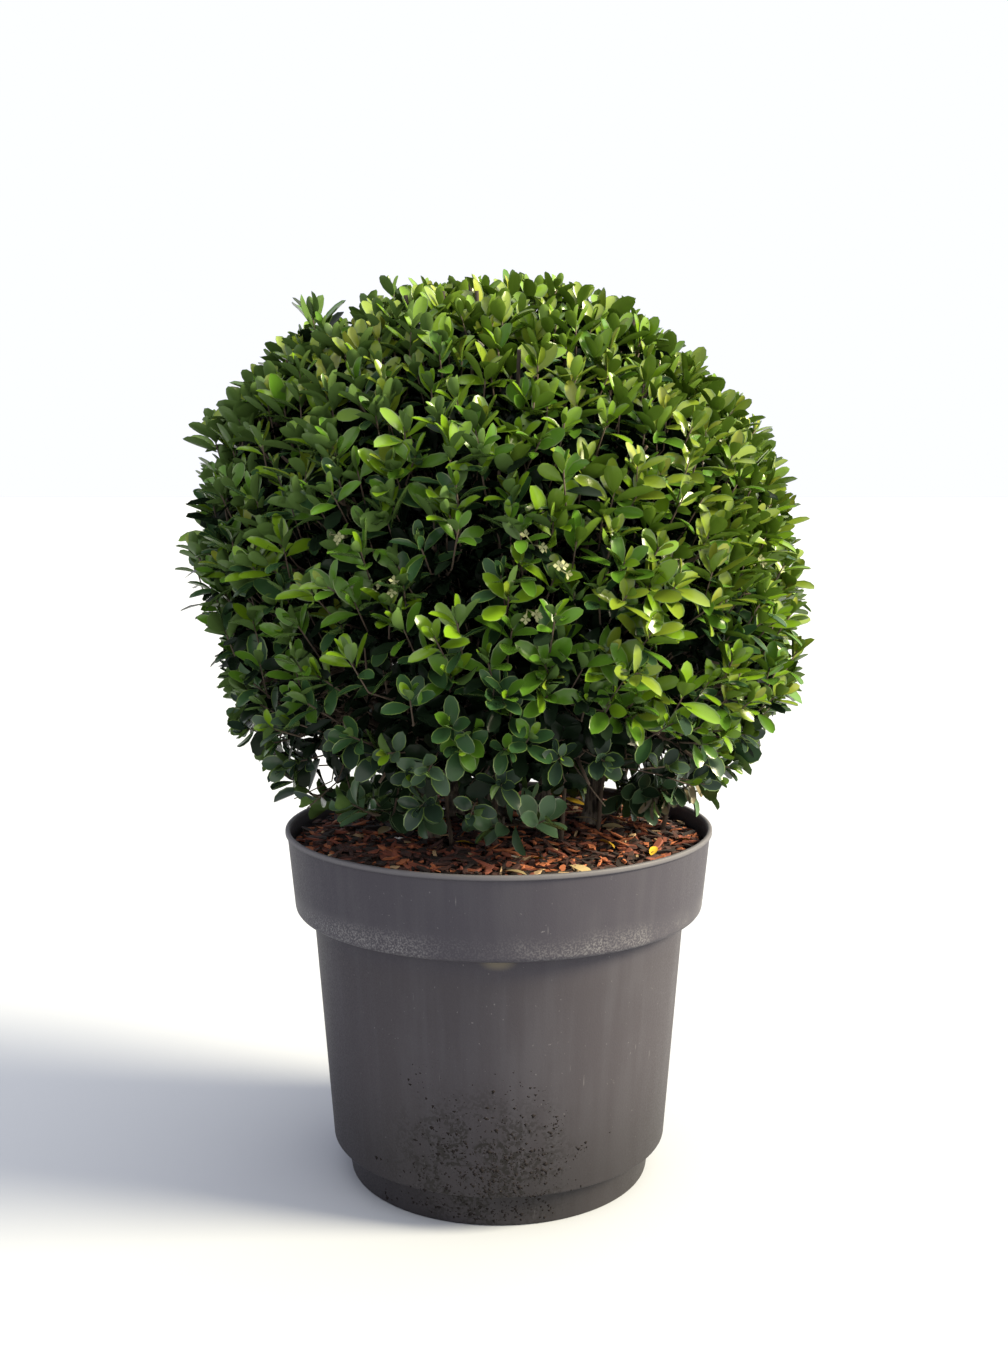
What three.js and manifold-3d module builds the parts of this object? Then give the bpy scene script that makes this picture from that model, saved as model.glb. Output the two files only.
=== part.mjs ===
// A Japanese holly clipped to a ball, in its nursery container.
// Millimetres, +Z up. The origin is the centre of the container's flat underside.
// The front of the plant faces -Y.
import * as THREE from "three";
import { mergeVertices } from "three/addons/utils/BufferGeometryUtils.js";
import Module from "manifold-3d";

const wasm = await Module();
wasm.setup();

// Container of about 10 litres, radii to its outside
const POT_HEIGHT = 232;
const WALL = 2;
const LIP_RADIUS = 140;
const LIP_HEIGHT = 3.5;
const LIP_WIDTH = 3;
const LIP_CHAMFER = 0.8;
const COLLAR_TOP_RADIUS = 138.6;
const COLLAR_BOTTOM_RADIUS = 133.8;
const COLLAR_BOTTOM_Z = 178;
const COLLAR_EDGE_ROUND = 4;
const COLLAR_EDGE_STEPS = 3;
const BODY_TOP_RADIUS = 122.4;
const BODY_BOTTOM_RADIUS = 110.8;
const BODY_BOTTOM_Z = 24;
const FOOT_TOP_RADIUS = 102.5;
const FOOT_RADIUS = 99.4;
const FOOT_EDGE = 2;
const FLOOR_THICKNESS = 2.6;
const DRAIN_HOLES = 8;
const DRAIN_HOLE_RADIUS = 7;
const DRAIN_HOLE_SIDES = 10;
const DRAIN_CIRCLE_RADIUS = 72;
const POT_SIDES = 40;

// Fill of the container
const SOIL_TOP_Z = 213;
const MULCH_EDGE_Z = 222;
const MULCH_TOP_Z = 225;
const MULCH_LEVEL_RADIUS = 104;

// Clearance between neighbouring solids, and the distance under which vertices are one
const GAP = 0.3;
const WELD_DISTANCE = 1e-4;

// Clipped crown: a ball with a level underside, fuller on its left shoulder
const CROWN_RADIUS = 198;
const CROWN_CENTRE = new THREE.Vector3(0, 0, 387);
const CROWN_FLOOR_Z = 258;
const CROWN_SPRAYS = 100;
const CROWN_LOWEST_SINE = -0.66;
const CROWN_SEED = 11;
// Swellings and dents of the ball: azimuth, elevation, height and spread
const CROWN_BULGES = [
  bulge(185, 36, 15, 28),
  bulge(0, 88, 4, 20),
  bulge(340, -18, 9, 9),
  bulge(192, -9, -14, 9),
  bulge(0, 48, -7, 14),
  bulge(75, 10, 6, 25),
  bulge(120, 45, -5, 25),
  bulge(280, 20, 5, 30),
];
const CORE_SHARE = 0.78;
const CORE_FLOOR_Z = 282;
const CORE_DETAIL = 5;
const CORE_RELIEF = 5;
const CORE_RELIEF_WAVES = 7;
const UNDERSIDE_RADIUS = 118;
const UNDERSIDE_GAP = 2;

// Shoots that stand out of the clipped outline: azimuth, elevation and how far they stand out
const STRAY_SHOOTS = [
  { azimuth: 194, elevation: 52, length: 20 },
  { azimuth: 347, elevation: -18, length: 9 },
];

// Sprays: a three-sided twig with leaves round its end, each leaf standing for several
const TWIG_SIDES = 3;
const TWIG_RADIUS = 3;
const TWIG_TIP_SHARE = 0.75;
const TWIG_SINK = 12;
const TWIG_UPWARD_PULL = 0.3;
const TWIG_CLEAR_OF_STEMS = 2;
const CROWN_TWIG_LENGTH = 20;
const CROWN_LEAVES = 4;
const LEAF_LENGTH = 49;
const LEAF_SIZE_SPREAD = 0.1;
const LEAF_TRIM_STEP = 0.94;
const LEAF_FIRST_AT = 0.62;
const LEAF_LAST_AT = 0.94;
const LEAF_OPEN_SPREAD = 7;
const LEAF_WIDTH_SHARE = 0.58;
const LEAF_THICKNESS = 1.2;
const LEAF_ROOT_SINK = 0.9;
const LEAF_WIDEST_AT = 0.58;
const LEAF_RIDGE_AT = 0.35;
const LEAF_SHORTEST_SHARE = 0.62;
const LEAF_LOWEST_OPEN = 78;
const LEAF_TOP_OPEN = 36;
const GOLDEN_ANGLE = Math.PI * (3 - Math.sqrt(5));
const STEEP_SINE = 0.9;

// Stems of the clump: where each leaves the mulch, where it enters the crown, and its radii
const STEM_SIDES = 8;
const STEM_RINGS = 7;
const STEM_FLARE = 0.55;
const STEM_FLARE_HEIGHT = 7;
const STEM_RING_CROWDING = 1.4;
const STEM_SWEEP_AT = 0.3;
const STEM_SWEEP = 0.12;
const STEMS = {
  stem_main: stem(-5, -5, 5, 3, 7.5, 5.5),
  stem_right: stem(62, 25, 72, 31, 5.2, 3.8),
  stem_left: stem(-45, -17, -60, -21, 5.2, 3.8),
  stem_back_left: stem(-31, 48, -42, 66, 4.8, 3.6),
  stem_back_right: stem(30, 58, 40, 77, 4.8, 3.6),
};

// Low sprays that hang round the foot of the crown: the stem each springs from, its heading and its size
const LOW_SPRAYS = {
  low_spray_left: lowSpray("stem_left", 178, 68, 6, 21),
  low_spray_front_left: lowSpray("stem_left", 247, 66, 8, 22),
  low_spray_front: lowSpray("stem_main", 284, 82, 2, 23),
  low_spray_right: lowSpray("stem_right", 335, 50, 8, 24),
  low_spray_back_right: lowSpray("stem_back_right", 48, 42, 8, 25),
  low_spray_back_left: lowSpray("stem_back_left", 124, 46, 8, 26),
};
const LOW_SPRAY_ROOT_RISE = 22;
const LOW_SPRAY_ROOT_GAP = 0.45;
const LOW_SPRAY_RADIUS = 1.8;
const LOW_SPRAY_TAPER = 0.4;
const LOW_SPRAY_SAG = 4;
const LOW_SPRAY_RINGS = 4;
const LOW_SPRAY_SECTOR = 62;
const LOW_TWIGS = 5;
const LOW_TWIG_FIRST_AT = 0.2;
const LOW_TWIG_LAST_AT = 0.96;
const LOW_TWIG_LENGTH = 14;
const LOW_TWIG_OPEN = 55;
const LOW_TWIG_LIFT = 25;
const LOW_LEAVES = 3;
const LOW_LEAF_LENGTH = 36;
const LOW_EDGE_RADIUS = 152;
const LOW_CLEAR_OF_MULCH = 3;
const LOW_CLEAR_OF_LIP = 6;

// Seeded random numbers: each is worked out from the one before
const RANDOM_FACTOR = 1664525;
const RANDOM_STEP = 1013904223;
const RANDOM_SPAN = 2 ** 32;

const COLOURS = {
  pot: { color: 0x47474b, roughness: 0.62, metalness: 0 },
  soil: { color: 0x2b211b, roughness: 0.95, metalness: 0 },
  mulch: { color: 0x6a3826, roughness: 0.9, metalness: 0 },
  stem: { color: 0x5b5044, roughness: 0.85, metalness: 0 },
  foliage: { color: 0x3f7526, roughness: 0.45, metalness: 0 },
  lowFoliage: { color: 0x2f5a33, roughness: 0.5, metalness: 0 },
};

// Unit vector from an azimuth, counted from +X towards +Y, and an elevation, both in degrees.
function heading(azimuth, elevation) {
  const turn = THREE.MathUtils.degToRad(azimuth);
  const rise = THREE.MathUtils.degToRad(elevation);
  return new THREE.Vector3(
    Math.cos(rise) * Math.cos(turn),
    Math.cos(rise) * Math.sin(turn),
    Math.sin(rise),
  );
}

// A swelling of the crown, or a dent where the height is negative, fading over a spread in degrees.
function bulge(azimuth, elevation, height, spread) {
  return { towards: heading(azimuth, elevation), height, spread: THREE.MathUtils.degToRad(spread) };
}

// A stem from its foot on the mulch to its tip under the crown's core.
function stem(footX, footY, tipX, tipY, footRadius, tipRadius) {
  return {
    foot: new THREE.Vector3(footX, footY, MULCH_TOP_Z + GAP),
    tip: new THREE.Vector3(tipX, tipY, CORE_FLOOR_Z - GAP),
    footRadius,
    tipRadius,
  };
}

// A low spray: its bearing stem, heading in degrees, length, rise of its tip and seed.
function lowSpray(stemName, azimuth, length, rise, seed) {
  return { stemName, azimuth, length, rise, seed };
}

// Seeded numbers between low and high, the same on every run.
function seededRandom(seed) {
  let state = seed;
  return (low, high) => {
    state = (state * RANDOM_FACTOR + RANDOM_STEP) % RANDOM_SPAN;
    return low + ((high - low) * state) / RANDOM_SPAN;
  };
}

// A closed geometry as a solid, with its shared vertices welded and its collapsed triangles dropped.
function solidOf(geometry) {
  const bare = new THREE.BufferGeometry();
  bare.setAttribute("position", geometry.getAttribute("position"));
  bare.setIndex(geometry.index);
  const welded = mergeVertices(bare, WELD_DISTANCE);
  const corners = welded.index.array;
  const kept = [];
  for (let i = 0; i < corners.length; i += 3) {
    const [a, b, c] = corners.slice(i, i + 3);
    if (a !== b && b !== c && c !== a) kept.push(a, b, c);
  }
  const mesh = new wasm.Mesh({
    numProp: 3,
    vertProperties: welded.getAttribute("position").array,
    triVerts: new Uint32Array(kept),
  });
  return new wasm.Manifold(mesh);
}

// A solid's largest body as a geometry: sealed hollows are filled and loose scraps dropped.
function geometryOf(solid) {
  const bodies = solid.decompose();
  const largest = bodies.reduce((best, body) => (body.volume() > best.volume() ? body : best));
  const mesh = largest.getMesh();
  const geometry = new THREE.BufferGeometry();
  geometry.setAttribute("position", new THREE.BufferAttribute(mesh.vertProperties, mesh.numProp));
  geometry.setIndex(new THREE.BufferAttribute(mesh.triVerts, 1));
  geometry.computeVertexNormals();
  return geometry;
}

// A named mesh of one solid in its own material.
function part(name, solid, look) {
  const mesh = new THREE.Mesh(geometryOf(solid), new THREE.MeshStandardMaterial(look));
  mesh.name = name;
  return mesh;
}

// A solid turned about +Z from a profile of [radius, height] points.
function turned(profile) {
  const points = profile.map(([radius, height]) => new THREE.Vector2(radius, height));
  const geometry = new THREE.LatheGeometry(points, POT_SIDES);
  geometry.rotateX(Math.PI / 2);
  return solidOf(geometry);
}

// A limb round the given centre points, closed by flat ends. The end rings lie level where asked.
function limb(points, radii, sides, levelEnds) {
  const rings = points.length;
  const positions = [];
  const index = [];
  for (let i = 0; i < rings; i++) {
    const before = points[Math.max(i - 1, 0)];
    const after = points[Math.min(i + 1, rings - 1)];
    const atEnd = i === 0 || i === rings - 1;
    const along = after.clone().sub(before).normalize();
    if (levelEnds && atEnd) along.set(0, 0, 1);
    const turn = new THREE.Quaternion().setFromUnitVectors(new THREE.Vector3(0, 0, 1), along);
    for (let s = 0; s < sides; s++) {
      const angle = (2 * Math.PI * s) / sides;
      const spoke = new THREE.Vector3(Math.cos(angle), Math.sin(angle), 0).multiplyScalar(radii[i]);
      positions.push(...spoke.applyQuaternion(turn).add(points[i]).toArray());
    }
  }
  for (let i = 0; i < rings - 1; i++) {
    for (let s = 0; s < sides; s++) {
      const a = i * sides + s;
      const b = i * sides + ((s + 1) % sides);
      index.push(a, b, b + sides, a, b + sides, a + sides);
    }
  }
  const last = (rings - 1) * sides;
  for (let s = 1; s < sides - 1; s++) {
    index.push(0, s + 1, s, last, last + s, last + s + 1);
  }
  const geometry = new THREE.BufferGeometry();
  geometry.setAttribute("position", new THREE.Float32BufferAttribute(positions, 3));
  geometry.setIndex(index);
  return solidOf(geometry);
}

// A leaf of eight faces: a pointed oval outline, widest past its middle, with a ridge above and below.
function leaf(root, along, upper, length) {
  const across = new THREE.Vector3().crossVectors(upper, along).normalize();
  const normal = new THREE.Vector3().crossVectors(along, across);
  const halfWidth = (length * LEAF_WIDTH_SHARE) / 2;
  const at = (share, side, lift) => {
    const point = root.clone().addScaledVector(along, share * length);
    return point.addScaledVector(across, side).addScaledVector(normal, lift);
  };
  const corners = [
    at(0, 0, 0),
    at(LEAF_WIDEST_AT, halfWidth, 0),
    at(1, 0, 0),
    at(LEAF_WIDEST_AT, -halfWidth, 0),
    at(LEAF_RIDGE_AT, 0, LEAF_THICKNESS / 2),
    at(LEAF_RIDGE_AT, 0, -LEAF_THICKNESS / 2),
  ];
  const index = [];
  for (let i = 0; i < 4; i++) {
    const next = (i + 1) % 4;
    index.push(4, next, i, 5, i, next);
  }
  const geometry = new THREE.BufferGeometry();
  geometry.setAttribute("position", new THREE.Float32BufferAttribute(corners.flatMap((c) => c.toArray()), 3));
  geometry.setIndex(index);
  return { solid: solidOf(geometry), corners, middle: at(0.5, 0, 0), length };
}

// Two unit vectors square to an axis and to each other.
function squareTo(axis) {
  const hint = Math.abs(axis.z) < STEEP_SINE ? new THREE.Vector3(0, 0, 1) : new THREE.Vector3(1, 0, 0);
  const first = new THREE.Vector3().crossVectors(hint, axis).normalize();
  return [first, new THREE.Vector3().crossVectors(axis, first)];
}

// Unit vector that leans from an axis by an opening angle in degrees, turned round it by a turn in radians.
function leaning(axis, open, turn) {
  const [first, second] = squareTo(axis);
  const lean = THREE.MathUtils.degToRad(open);
  const side = first.multiplyScalar(Math.cos(turn)).addScaledVector(second, Math.sin(turn));
  return axis.clone().multiplyScalar(Math.cos(lean)).addScaledVector(side, Math.sin(lean));
}

// Whether a leaf or twig keeps off the pieces that are there already.
function clearOf(piece, obstacles) {
  return obstacles.every(
    (other) =>
      piece.middle.distanceTo(other.middle) > (piece.length + other.length) / 2 ||
      piece.solid.intersect(other.solid).isEmpty(),
  );
}

// A straight three-sided twig that leaves are carried on.
function twig(base, axis, length) {
  const end = base.clone().addScaledVector(axis, length);
  return {
    solid: limb([base, end], [TWIG_RADIUS, TWIG_RADIUS * TWIG_TIP_SHARE], TWIG_SIDES, false),
    middle: base.clone().lerp(end, 0.5),
    length,
    base,
    end,
    axis,
  };
}

// Leaves spiralling round a twig's outer half, opening less towards its end. A leaf that leaves its
// space or touches another piece is shortened, and skipped where it would get too short.
function leavesOn({ base, end, axis }, { leafCount, leafLength, random, inSpace, obstacles }) {
  const leaves = [];
  const phase = random(0, 2 * Math.PI);
  for (let j = 0; j < leafCount; j++) {
    const share = j / (leafCount - 1);
    const opening = THREE.MathUtils.lerp(LEAF_LOWEST_OPEN, LEAF_TOP_OPEN, share);
    const open = opening + random(-LEAF_OPEN_SPREAD, LEAF_OPEN_SPREAD);
    const along = leaning(axis, open, phase + j * GOLDEN_ANGLE);
    const onTwig = base.clone().lerp(end, THREE.MathUtils.lerp(LEAF_FIRST_AT, LEAF_LAST_AT, share));
    const root = onTwig.addScaledVector(along, -LEAF_ROOT_SINK);
    const wanted = leafLength * random(1 - LEAF_SIZE_SPREAD, 1 + LEAF_SIZE_SPREAD);
    for (let size = wanted; size > wanted * LEAF_SHORTEST_SHARE; size *= LEAF_TRIM_STEP) {
      const made = leaf(root, along, axis, size);
      if (made.corners.every(inSpace) && clearOf(made, obstacles)) {
        leaves.push(made);
        break;
      }
    }
  }
  return leaves;
}

// The solids of several pieces fused into one.
function fused(pieces) {
  return wasm.Manifold.union(pieces.map((piece) => piece.solid));
}

// How far the clipped outline lies from the crown's centre in a direction.
function crownReach(direction) {
  const swell = CROWN_BULGES.map(
    (b) => b.height * Math.exp(-((direction.angleTo(b.towards) / b.spread) ** 2)),
  );
  return swell.reduce((sum, height) => sum + height, CROWN_RADIUS);
}

// Direction number i of count, spread evenly over the ball from its top down to its underside.
function evenDirection(i, count) {
  const sine = 1 - ((1 - CROWN_LOWEST_SINE) * (i + 0.5)) / count;
  const level = Math.sqrt(1 - sine * sine);
  const turn = i * GOLDEN_ANGLE;
  return new THREE.Vector3(level * Math.cos(turn), level * Math.sin(turn), sine);
}

// Centre line of a stem: level cut at its foot, a slight sweep and a level end under the crown.
function stemLine({ foot, tip }) {
  const low = foot.clone().lerp(tip, STEM_SWEEP);
  low.z = THREE.MathUtils.lerp(foot.z, tip.z, STEM_SWEEP_AT);
  return new THREE.CatmullRomCurve3([foot, low, tip]);
}

// Radius of a stem at a share of its height, with a flare at its foot.
function stemRadius({ foot, tip, footRadius, tipRadius }, share) {
  const taper = THREE.MathUtils.lerp(footRadius, tipRadius, share);
  const height = share * (tip.z - foot.z);
  return taper * (1 + STEM_FLARE * Math.exp(-height / STEM_FLARE_HEIGHT));
}

// A stem: one tapering limb whose rings crowd towards its flared foot, thicker by a margin where asked.
function stemSolid(shape, margin = 0) {
  const line = stemLine(shape);
  const shares = Array.from({ length: STEM_RINGS }, (_, i) => (i / (STEM_RINGS - 1)) ** STEM_RING_CROWDING);
  return limb(
    shares.map((share) => line.getPoint(share)),
    shares.map((share) => stemRadius(shape, share) + margin),
    STEM_SIDES,
    true,
  );
}

// The space of a stem that twigs and leaves keep out of.
function stemObstacle(shape) {
  return {
    solid: stemSolid(shape, TWIG_CLEAR_OF_STEMS),
    middle: shape.foot.clone().lerp(shape.tip, 0.5),
    length: shape.foot.distanceTo(shape.tip) + 2 * shape.footRadius,
  };
}

// The container: foot ring, tapering body, wide collar and a thin lip, with drain holes in its floor.
function pot() {
  const collarInnerZ = COLLAR_BOTTOM_Z + WALL;
  const edge = [];
  for (let i = 0; i <= COLLAR_EDGE_STEPS; i++) {
    const angle = (-Math.PI / 2) * (1 - i / COLLAR_EDGE_STEPS);
    edge.push([
      COLLAR_BOTTOM_RADIUS - COLLAR_EDGE_ROUND * (1 - Math.cos(angle)),
      COLLAR_BOTTOM_Z + COLLAR_EDGE_ROUND * (1 + Math.sin(angle)),
    ]);
  }
  const body = turned([
    [0, 0],
    [FOOT_RADIUS - FOOT_EDGE, 0],
    [FOOT_RADIUS, FOOT_EDGE],
    [FOOT_TOP_RADIUS, BODY_BOTTOM_Z - WALL / 2],
    [BODY_BOTTOM_RADIUS - WALL / 2, BODY_BOTTOM_Z],
    [BODY_BOTTOM_RADIUS, BODY_BOTTOM_Z + WALL / 2],
    [BODY_TOP_RADIUS, COLLAR_BOTTOM_Z],
    ...edge,
    [COLLAR_TOP_RADIUS, POT_HEIGHT - LIP_HEIGHT],
    [LIP_RADIUS, POT_HEIGHT - LIP_HEIGHT + LIP_CHAMFER / 2],
    [LIP_RADIUS, POT_HEIGHT - LIP_CHAMFER],
    [LIP_RADIUS - LIP_CHAMFER, POT_HEIGHT],
    [LIP_RADIUS - LIP_WIDTH, POT_HEIGHT],
    [COLLAR_TOP_RADIUS - WALL, POT_HEIGHT - LIP_HEIGHT],
    [COLLAR_BOTTOM_RADIUS - WALL, collarInnerZ + COLLAR_EDGE_ROUND],
    [COLLAR_BOTTOM_RADIUS - WALL - COLLAR_EDGE_ROUND, collarInnerZ],
    [BODY_TOP_RADIUS - WALL, collarInnerZ],
    [BODY_BOTTOM_RADIUS - WALL, BODY_BOTTOM_Z + WALL],
    [FOOT_TOP_RADIUS - WALL, BODY_BOTTOM_Z + WALL],
    [FOOT_RADIUS - WALL, FLOOR_THICKNESS],
    [0, FLOOR_THICKNESS],
  ]);
  let drained = body;
  for (let i = 0; i < DRAIN_HOLES; i++) {
    const turn = (2 * Math.PI * (i + 0.5)) / DRAIN_HOLES;
    const depth = 3 * FLOOR_THICKNESS;
    const hole = new THREE.CylinderGeometry(DRAIN_HOLE_RADIUS, DRAIN_HOLE_RADIUS, depth, DRAIN_HOLE_SIDES);
    hole.rotateX(Math.PI / 2);
    hole.translate(DRAIN_CIRCLE_RADIUS * Math.cos(turn), DRAIN_CIRCLE_RADIUS * Math.sin(turn), 0);
    drained = drained.subtract(solidOf(hole));
  }
  return drained;
}

// Inner radius of the container's collar at a height.
function collarInside(z) {
  const share = (z - COLLAR_BOTTOM_Z) / (POT_HEIGHT - LIP_HEIGHT - COLLAR_BOTTOM_Z);
  return THREE.MathUtils.lerp(COLLAR_BOTTOM_RADIUS, COLLAR_TOP_RADIUS, share) - WALL;
}

// Potting soil: fills the container up to the mulch.
function pottingSoil() {
  const collarInnerZ = COLLAR_BOTTOM_Z + WALL;
  return turned([
    [0, FLOOR_THICKNESS + GAP],
    [FOOT_RADIUS - WALL - 2 * GAP, FLOOR_THICKNESS + GAP],
    [FOOT_TOP_RADIUS - WALL - 2 * GAP, BODY_BOTTOM_Z + WALL + GAP],
    [BODY_BOTTOM_RADIUS - WALL - 2 * GAP, BODY_BOTTOM_Z + WALL + GAP],
    [BODY_TOP_RADIUS - WALL - 2 * GAP, collarInnerZ + GAP],
    [COLLAR_BOTTOM_RADIUS - WALL - COLLAR_EDGE_ROUND - GAP, collarInnerZ + GAP],
    [COLLAR_BOTTOM_RADIUS - WALL - 2 * GAP, collarInnerZ + COLLAR_EDGE_ROUND + GAP],
    [collarInside(SOIL_TOP_Z) - 2 * GAP, SOIL_TOP_Z],
    [0, SOIL_TOP_Z],
  ]);
}

// Bark mulch: a layer on the soil, level round the stems and lower at the wall.
function barkMulch() {
  return turned([
    [0, SOIL_TOP_Z + GAP],
    [collarInside(SOIL_TOP_Z) - 2 * GAP, SOIL_TOP_Z + GAP],
    [collarInside(MULCH_EDGE_Z) - 2 * GAP, MULCH_EDGE_Z],
    [MULCH_LEVEL_RADIUS, MULCH_TOP_Z],
    [0, MULCH_TOP_Z],
  ]);
}

// The dense core inside the crown: a smaller, billowing copy of its outline with a level underside.
function crownCore() {
  const geometry = new THREE.IcosahedronGeometry(1, CORE_DETAIL);
  const position = geometry.getAttribute("position");
  const point = new THREE.Vector3();
  for (let i = 0; i < position.count; i++) {
    point.fromBufferAttribute(position, i).normalize();
    const waves = point.toArray().map((value, axis) => Math.sin(CORE_RELIEF_WAVES * value + axis));
    const relief = CORE_RELIEF * waves[0] * (waves[1] + waves[2]);
    point.multiplyScalar(CORE_SHARE * crownReach(point) + relief).add(CROWN_CENTRE);
    position.setXYZ(i, point.x, point.y, Math.max(point.z, CORE_FLOOR_Z));
  }
  return solidOf(geometry);
}

// Distance of a point from the upright axis of the plant.
function axisDistance(point) {
  return Math.hypot(point.x, point.y);
}

// Whether a point lies inside the crown's space: its outline, outside the hollow under its core.
function inCrown(extra) {
  return (point) => {
    const out = point.clone().sub(CROWN_CENTRE);
    const distance = out.length();
    const overHollow = point.z > CORE_FLOOR_Z || axisDistance(point) > UNDERSIDE_RADIUS;
    return overHollow && point.z > CROWN_FLOOR_Z && distance < crownReach(out.normalize()) + extra;
  };
}

// A twig of the crown in a direction, standing out of the core and pulled upwards near the top.
function crownTwig(direction, extra, random) {
  const onCore = direction.clone().multiplyScalar(CORE_SHARE * crownReach(direction)).add(CROWN_CENTRE);
  onCore.z = Math.max(onCore.z, CORE_FLOOR_Z + TWIG_SINK);
  const pull = (TWIG_UPWARD_PULL * (1 + direction.z)) / 2;
  const axis = direction.clone().add(new THREE.Vector3(0, 0, pull)).normalize();
  const growth = random(1 - LEAF_SIZE_SPREAD, 1 + LEAF_SIZE_SPREAD);
  const length = TWIG_SINK + CROWN_TWIG_LENGTH * growth + extra;
  return twig(onCore.addScaledVector(axis, -TWIG_SINK), axis, length);
}

// The clipped crown: core, even sprays and the few stray shoots, fused into one body.
function crown() {
  const random = seededRandom(CROWN_SEED);
  const shoots = Array.from({ length: CROWN_SPRAYS }, (_, i) => [evenDirection(i, CROWN_SPRAYS), 0]);
  for (const stray of STRAY_SHOOTS) {
    shoots.push([heading(stray.azimuth, stray.elevation), stray.length]);
  }
  const twigs = shoots.map(([direction, extra]) => crownTwig(direction, extra, random));
  const leaves = [];
  twigs.forEach((bearer, i) => {
    const grown = leavesOn(bearer, {
      leafCount: CROWN_LEAVES,
      leafLength: LEAF_LENGTH,
      random,
      inSpace: inCrown(shoots[i][1]),
      obstacles: [...twigs.filter((other) => other !== bearer), ...leaves],
    });
    leaves.push(...grown);
  });
  return crownCore().add(fused([...twigs, ...leaves]));
}

// Whether a point lies inside a low spray's space: its sector between mulch, container lip and crown.
function inLowSpray({ root, out }) {
  return (point) => {
    const turn = THREE.MathUtils.radToDeg(out.angleTo(point.clone().sub(root).setZ(0)));
    const underCore = axisDistance(point) < UNDERSIDE_RADIUS - UNDERSIDE_GAP;
    const ceiling = (underCore ? CORE_FLOOR_Z : CROWN_FLOOR_Z) - UNDERSIDE_GAP;
    const nearLip = axisDistance(point) > MULCH_LEVEL_RADIUS;
    const floor = nearLip ? POT_HEIGHT + LOW_CLEAR_OF_LIP : MULCH_TOP_Z + LOW_CLEAR_OF_MULCH;
    return (
      turn < LOW_SPRAY_SECTOR &&
      axisDistance(point) < LOW_EDGE_RADIUS &&
      point.z < ceiling &&
      point.z > floor
    );
  };
}

// The shoot of a low spray: a limb that springs from its stem, just clear of the bark.
function lowShoot({ stemName, azimuth, length, rise }) {
  const shape = STEMS[stemName];
  const share = LOW_SPRAY_ROOT_RISE / (shape.tip.z - shape.foot.z);
  const out = heading(azimuth, 0);
  const tangent = stemLine(shape).getTangent(share);
  const lean = Math.max(tangent.dot(out) / tangent.z, 0);
  const barkAt = stemRadius(shape, share) * Math.hypot(1, lean) + LOW_SPRAY_RADIUS * lean;
  const root = stemLine(shape).getPoint(share).addScaledVector(out, barkAt + LOW_SPRAY_ROOT_GAP);
  const tip = root.clone().addScaledVector(out, length).add(new THREE.Vector3(0, 0, rise));
  const middle = root.clone().lerp(tip, 0.5).add(new THREE.Vector3(0, 0, -LOW_SPRAY_SAG));
  const line = new THREE.CatmullRomCurve3([root, middle, tip]);
  const rings = line.getPoints(LOW_SPRAY_RINGS);
  const radii = rings.map((_, i) => LOW_SPRAY_RADIUS * (1 - (LOW_SPRAY_TAPER * i) / LOW_SPRAY_RINGS));
  return { solid: limb(rings, radii, TWIG_SIDES, false), middle, length, line, root, out };
}

// The twigs of a low spray, to the left and right of its shoot and at its tip.
function lowTwigs({ azimuth }, { line }) {
  return Array.from({ length: LOW_TWIGS }, (_, k) => {
    const share = THREE.MathUtils.lerp(LOW_TWIG_FIRST_AT, LOW_TWIG_LAST_AT, k / (LOW_TWIGS - 1));
    const turn = k === LOW_TWIGS - 1 ? 0 : (-1) ** k * LOW_TWIG_OPEN;
    return twig(line.getPoint(share), heading(azimuth + turn, LOW_TWIG_LIFT), LOW_TWIG_LENGTH);
  });
}

// All low sprays as named solids, with their leaves clear of the stems and of each other.
function lowSprays() {
  const sprays = Object.entries(LOW_SPRAYS).map(([name, shape]) => {
    const shoot = lowShoot(shape);
    return { name, seed: shape.seed, shoot, twigs: lowTwigs(shape, shoot), leaves: [] };
  });
  const limbs = Object.values(STEMS).map(stemObstacle);
  limbs.push(...sprays.flatMap(({ shoot, twigs }) => [shoot, ...twigs]));
  for (const { seed, shoot, twigs, leaves } of sprays) {
    const random = seededRandom(seed);
    for (const bearer of twigs) {
      const grown = leavesOn(bearer, {
        leafCount: LOW_LEAVES,
        leafLength: LOW_LEAF_LENGTH,
        random,
        inSpace: inLowSpray(shoot),
        obstacles: [...limbs.filter((other) => other !== bearer), ...sprays.flatMap((spray) => spray.leaves)],
      });
      leaves.push(...grown);
    }
  }
  return sprays.map(({ name, shoot, twigs, leaves }) => [name, fused([shoot, ...twigs, ...leaves])]);
}

const plant = new THREE.Group();
plant.name = "potted_holly_ball";
plant.add(part("pot", pot(), COLOURS.pot));
plant.add(part("potting_soil", pottingSoil(), COLOURS.soil));
plant.add(part("bark_mulch", barkMulch(), COLOURS.mulch));
for (const [name, shape] of Object.entries(STEMS)) {
  plant.add(part(name, stemSolid(shape), COLOURS.stem));
}
plant.add(part("crown_ball", crown(), COLOURS.foliage));
for (const [name, solid] of lowSprays()) {
  plant.add(part(name, solid, COLOURS.lowFoliage));
}

export default plant;
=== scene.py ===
import math

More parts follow.
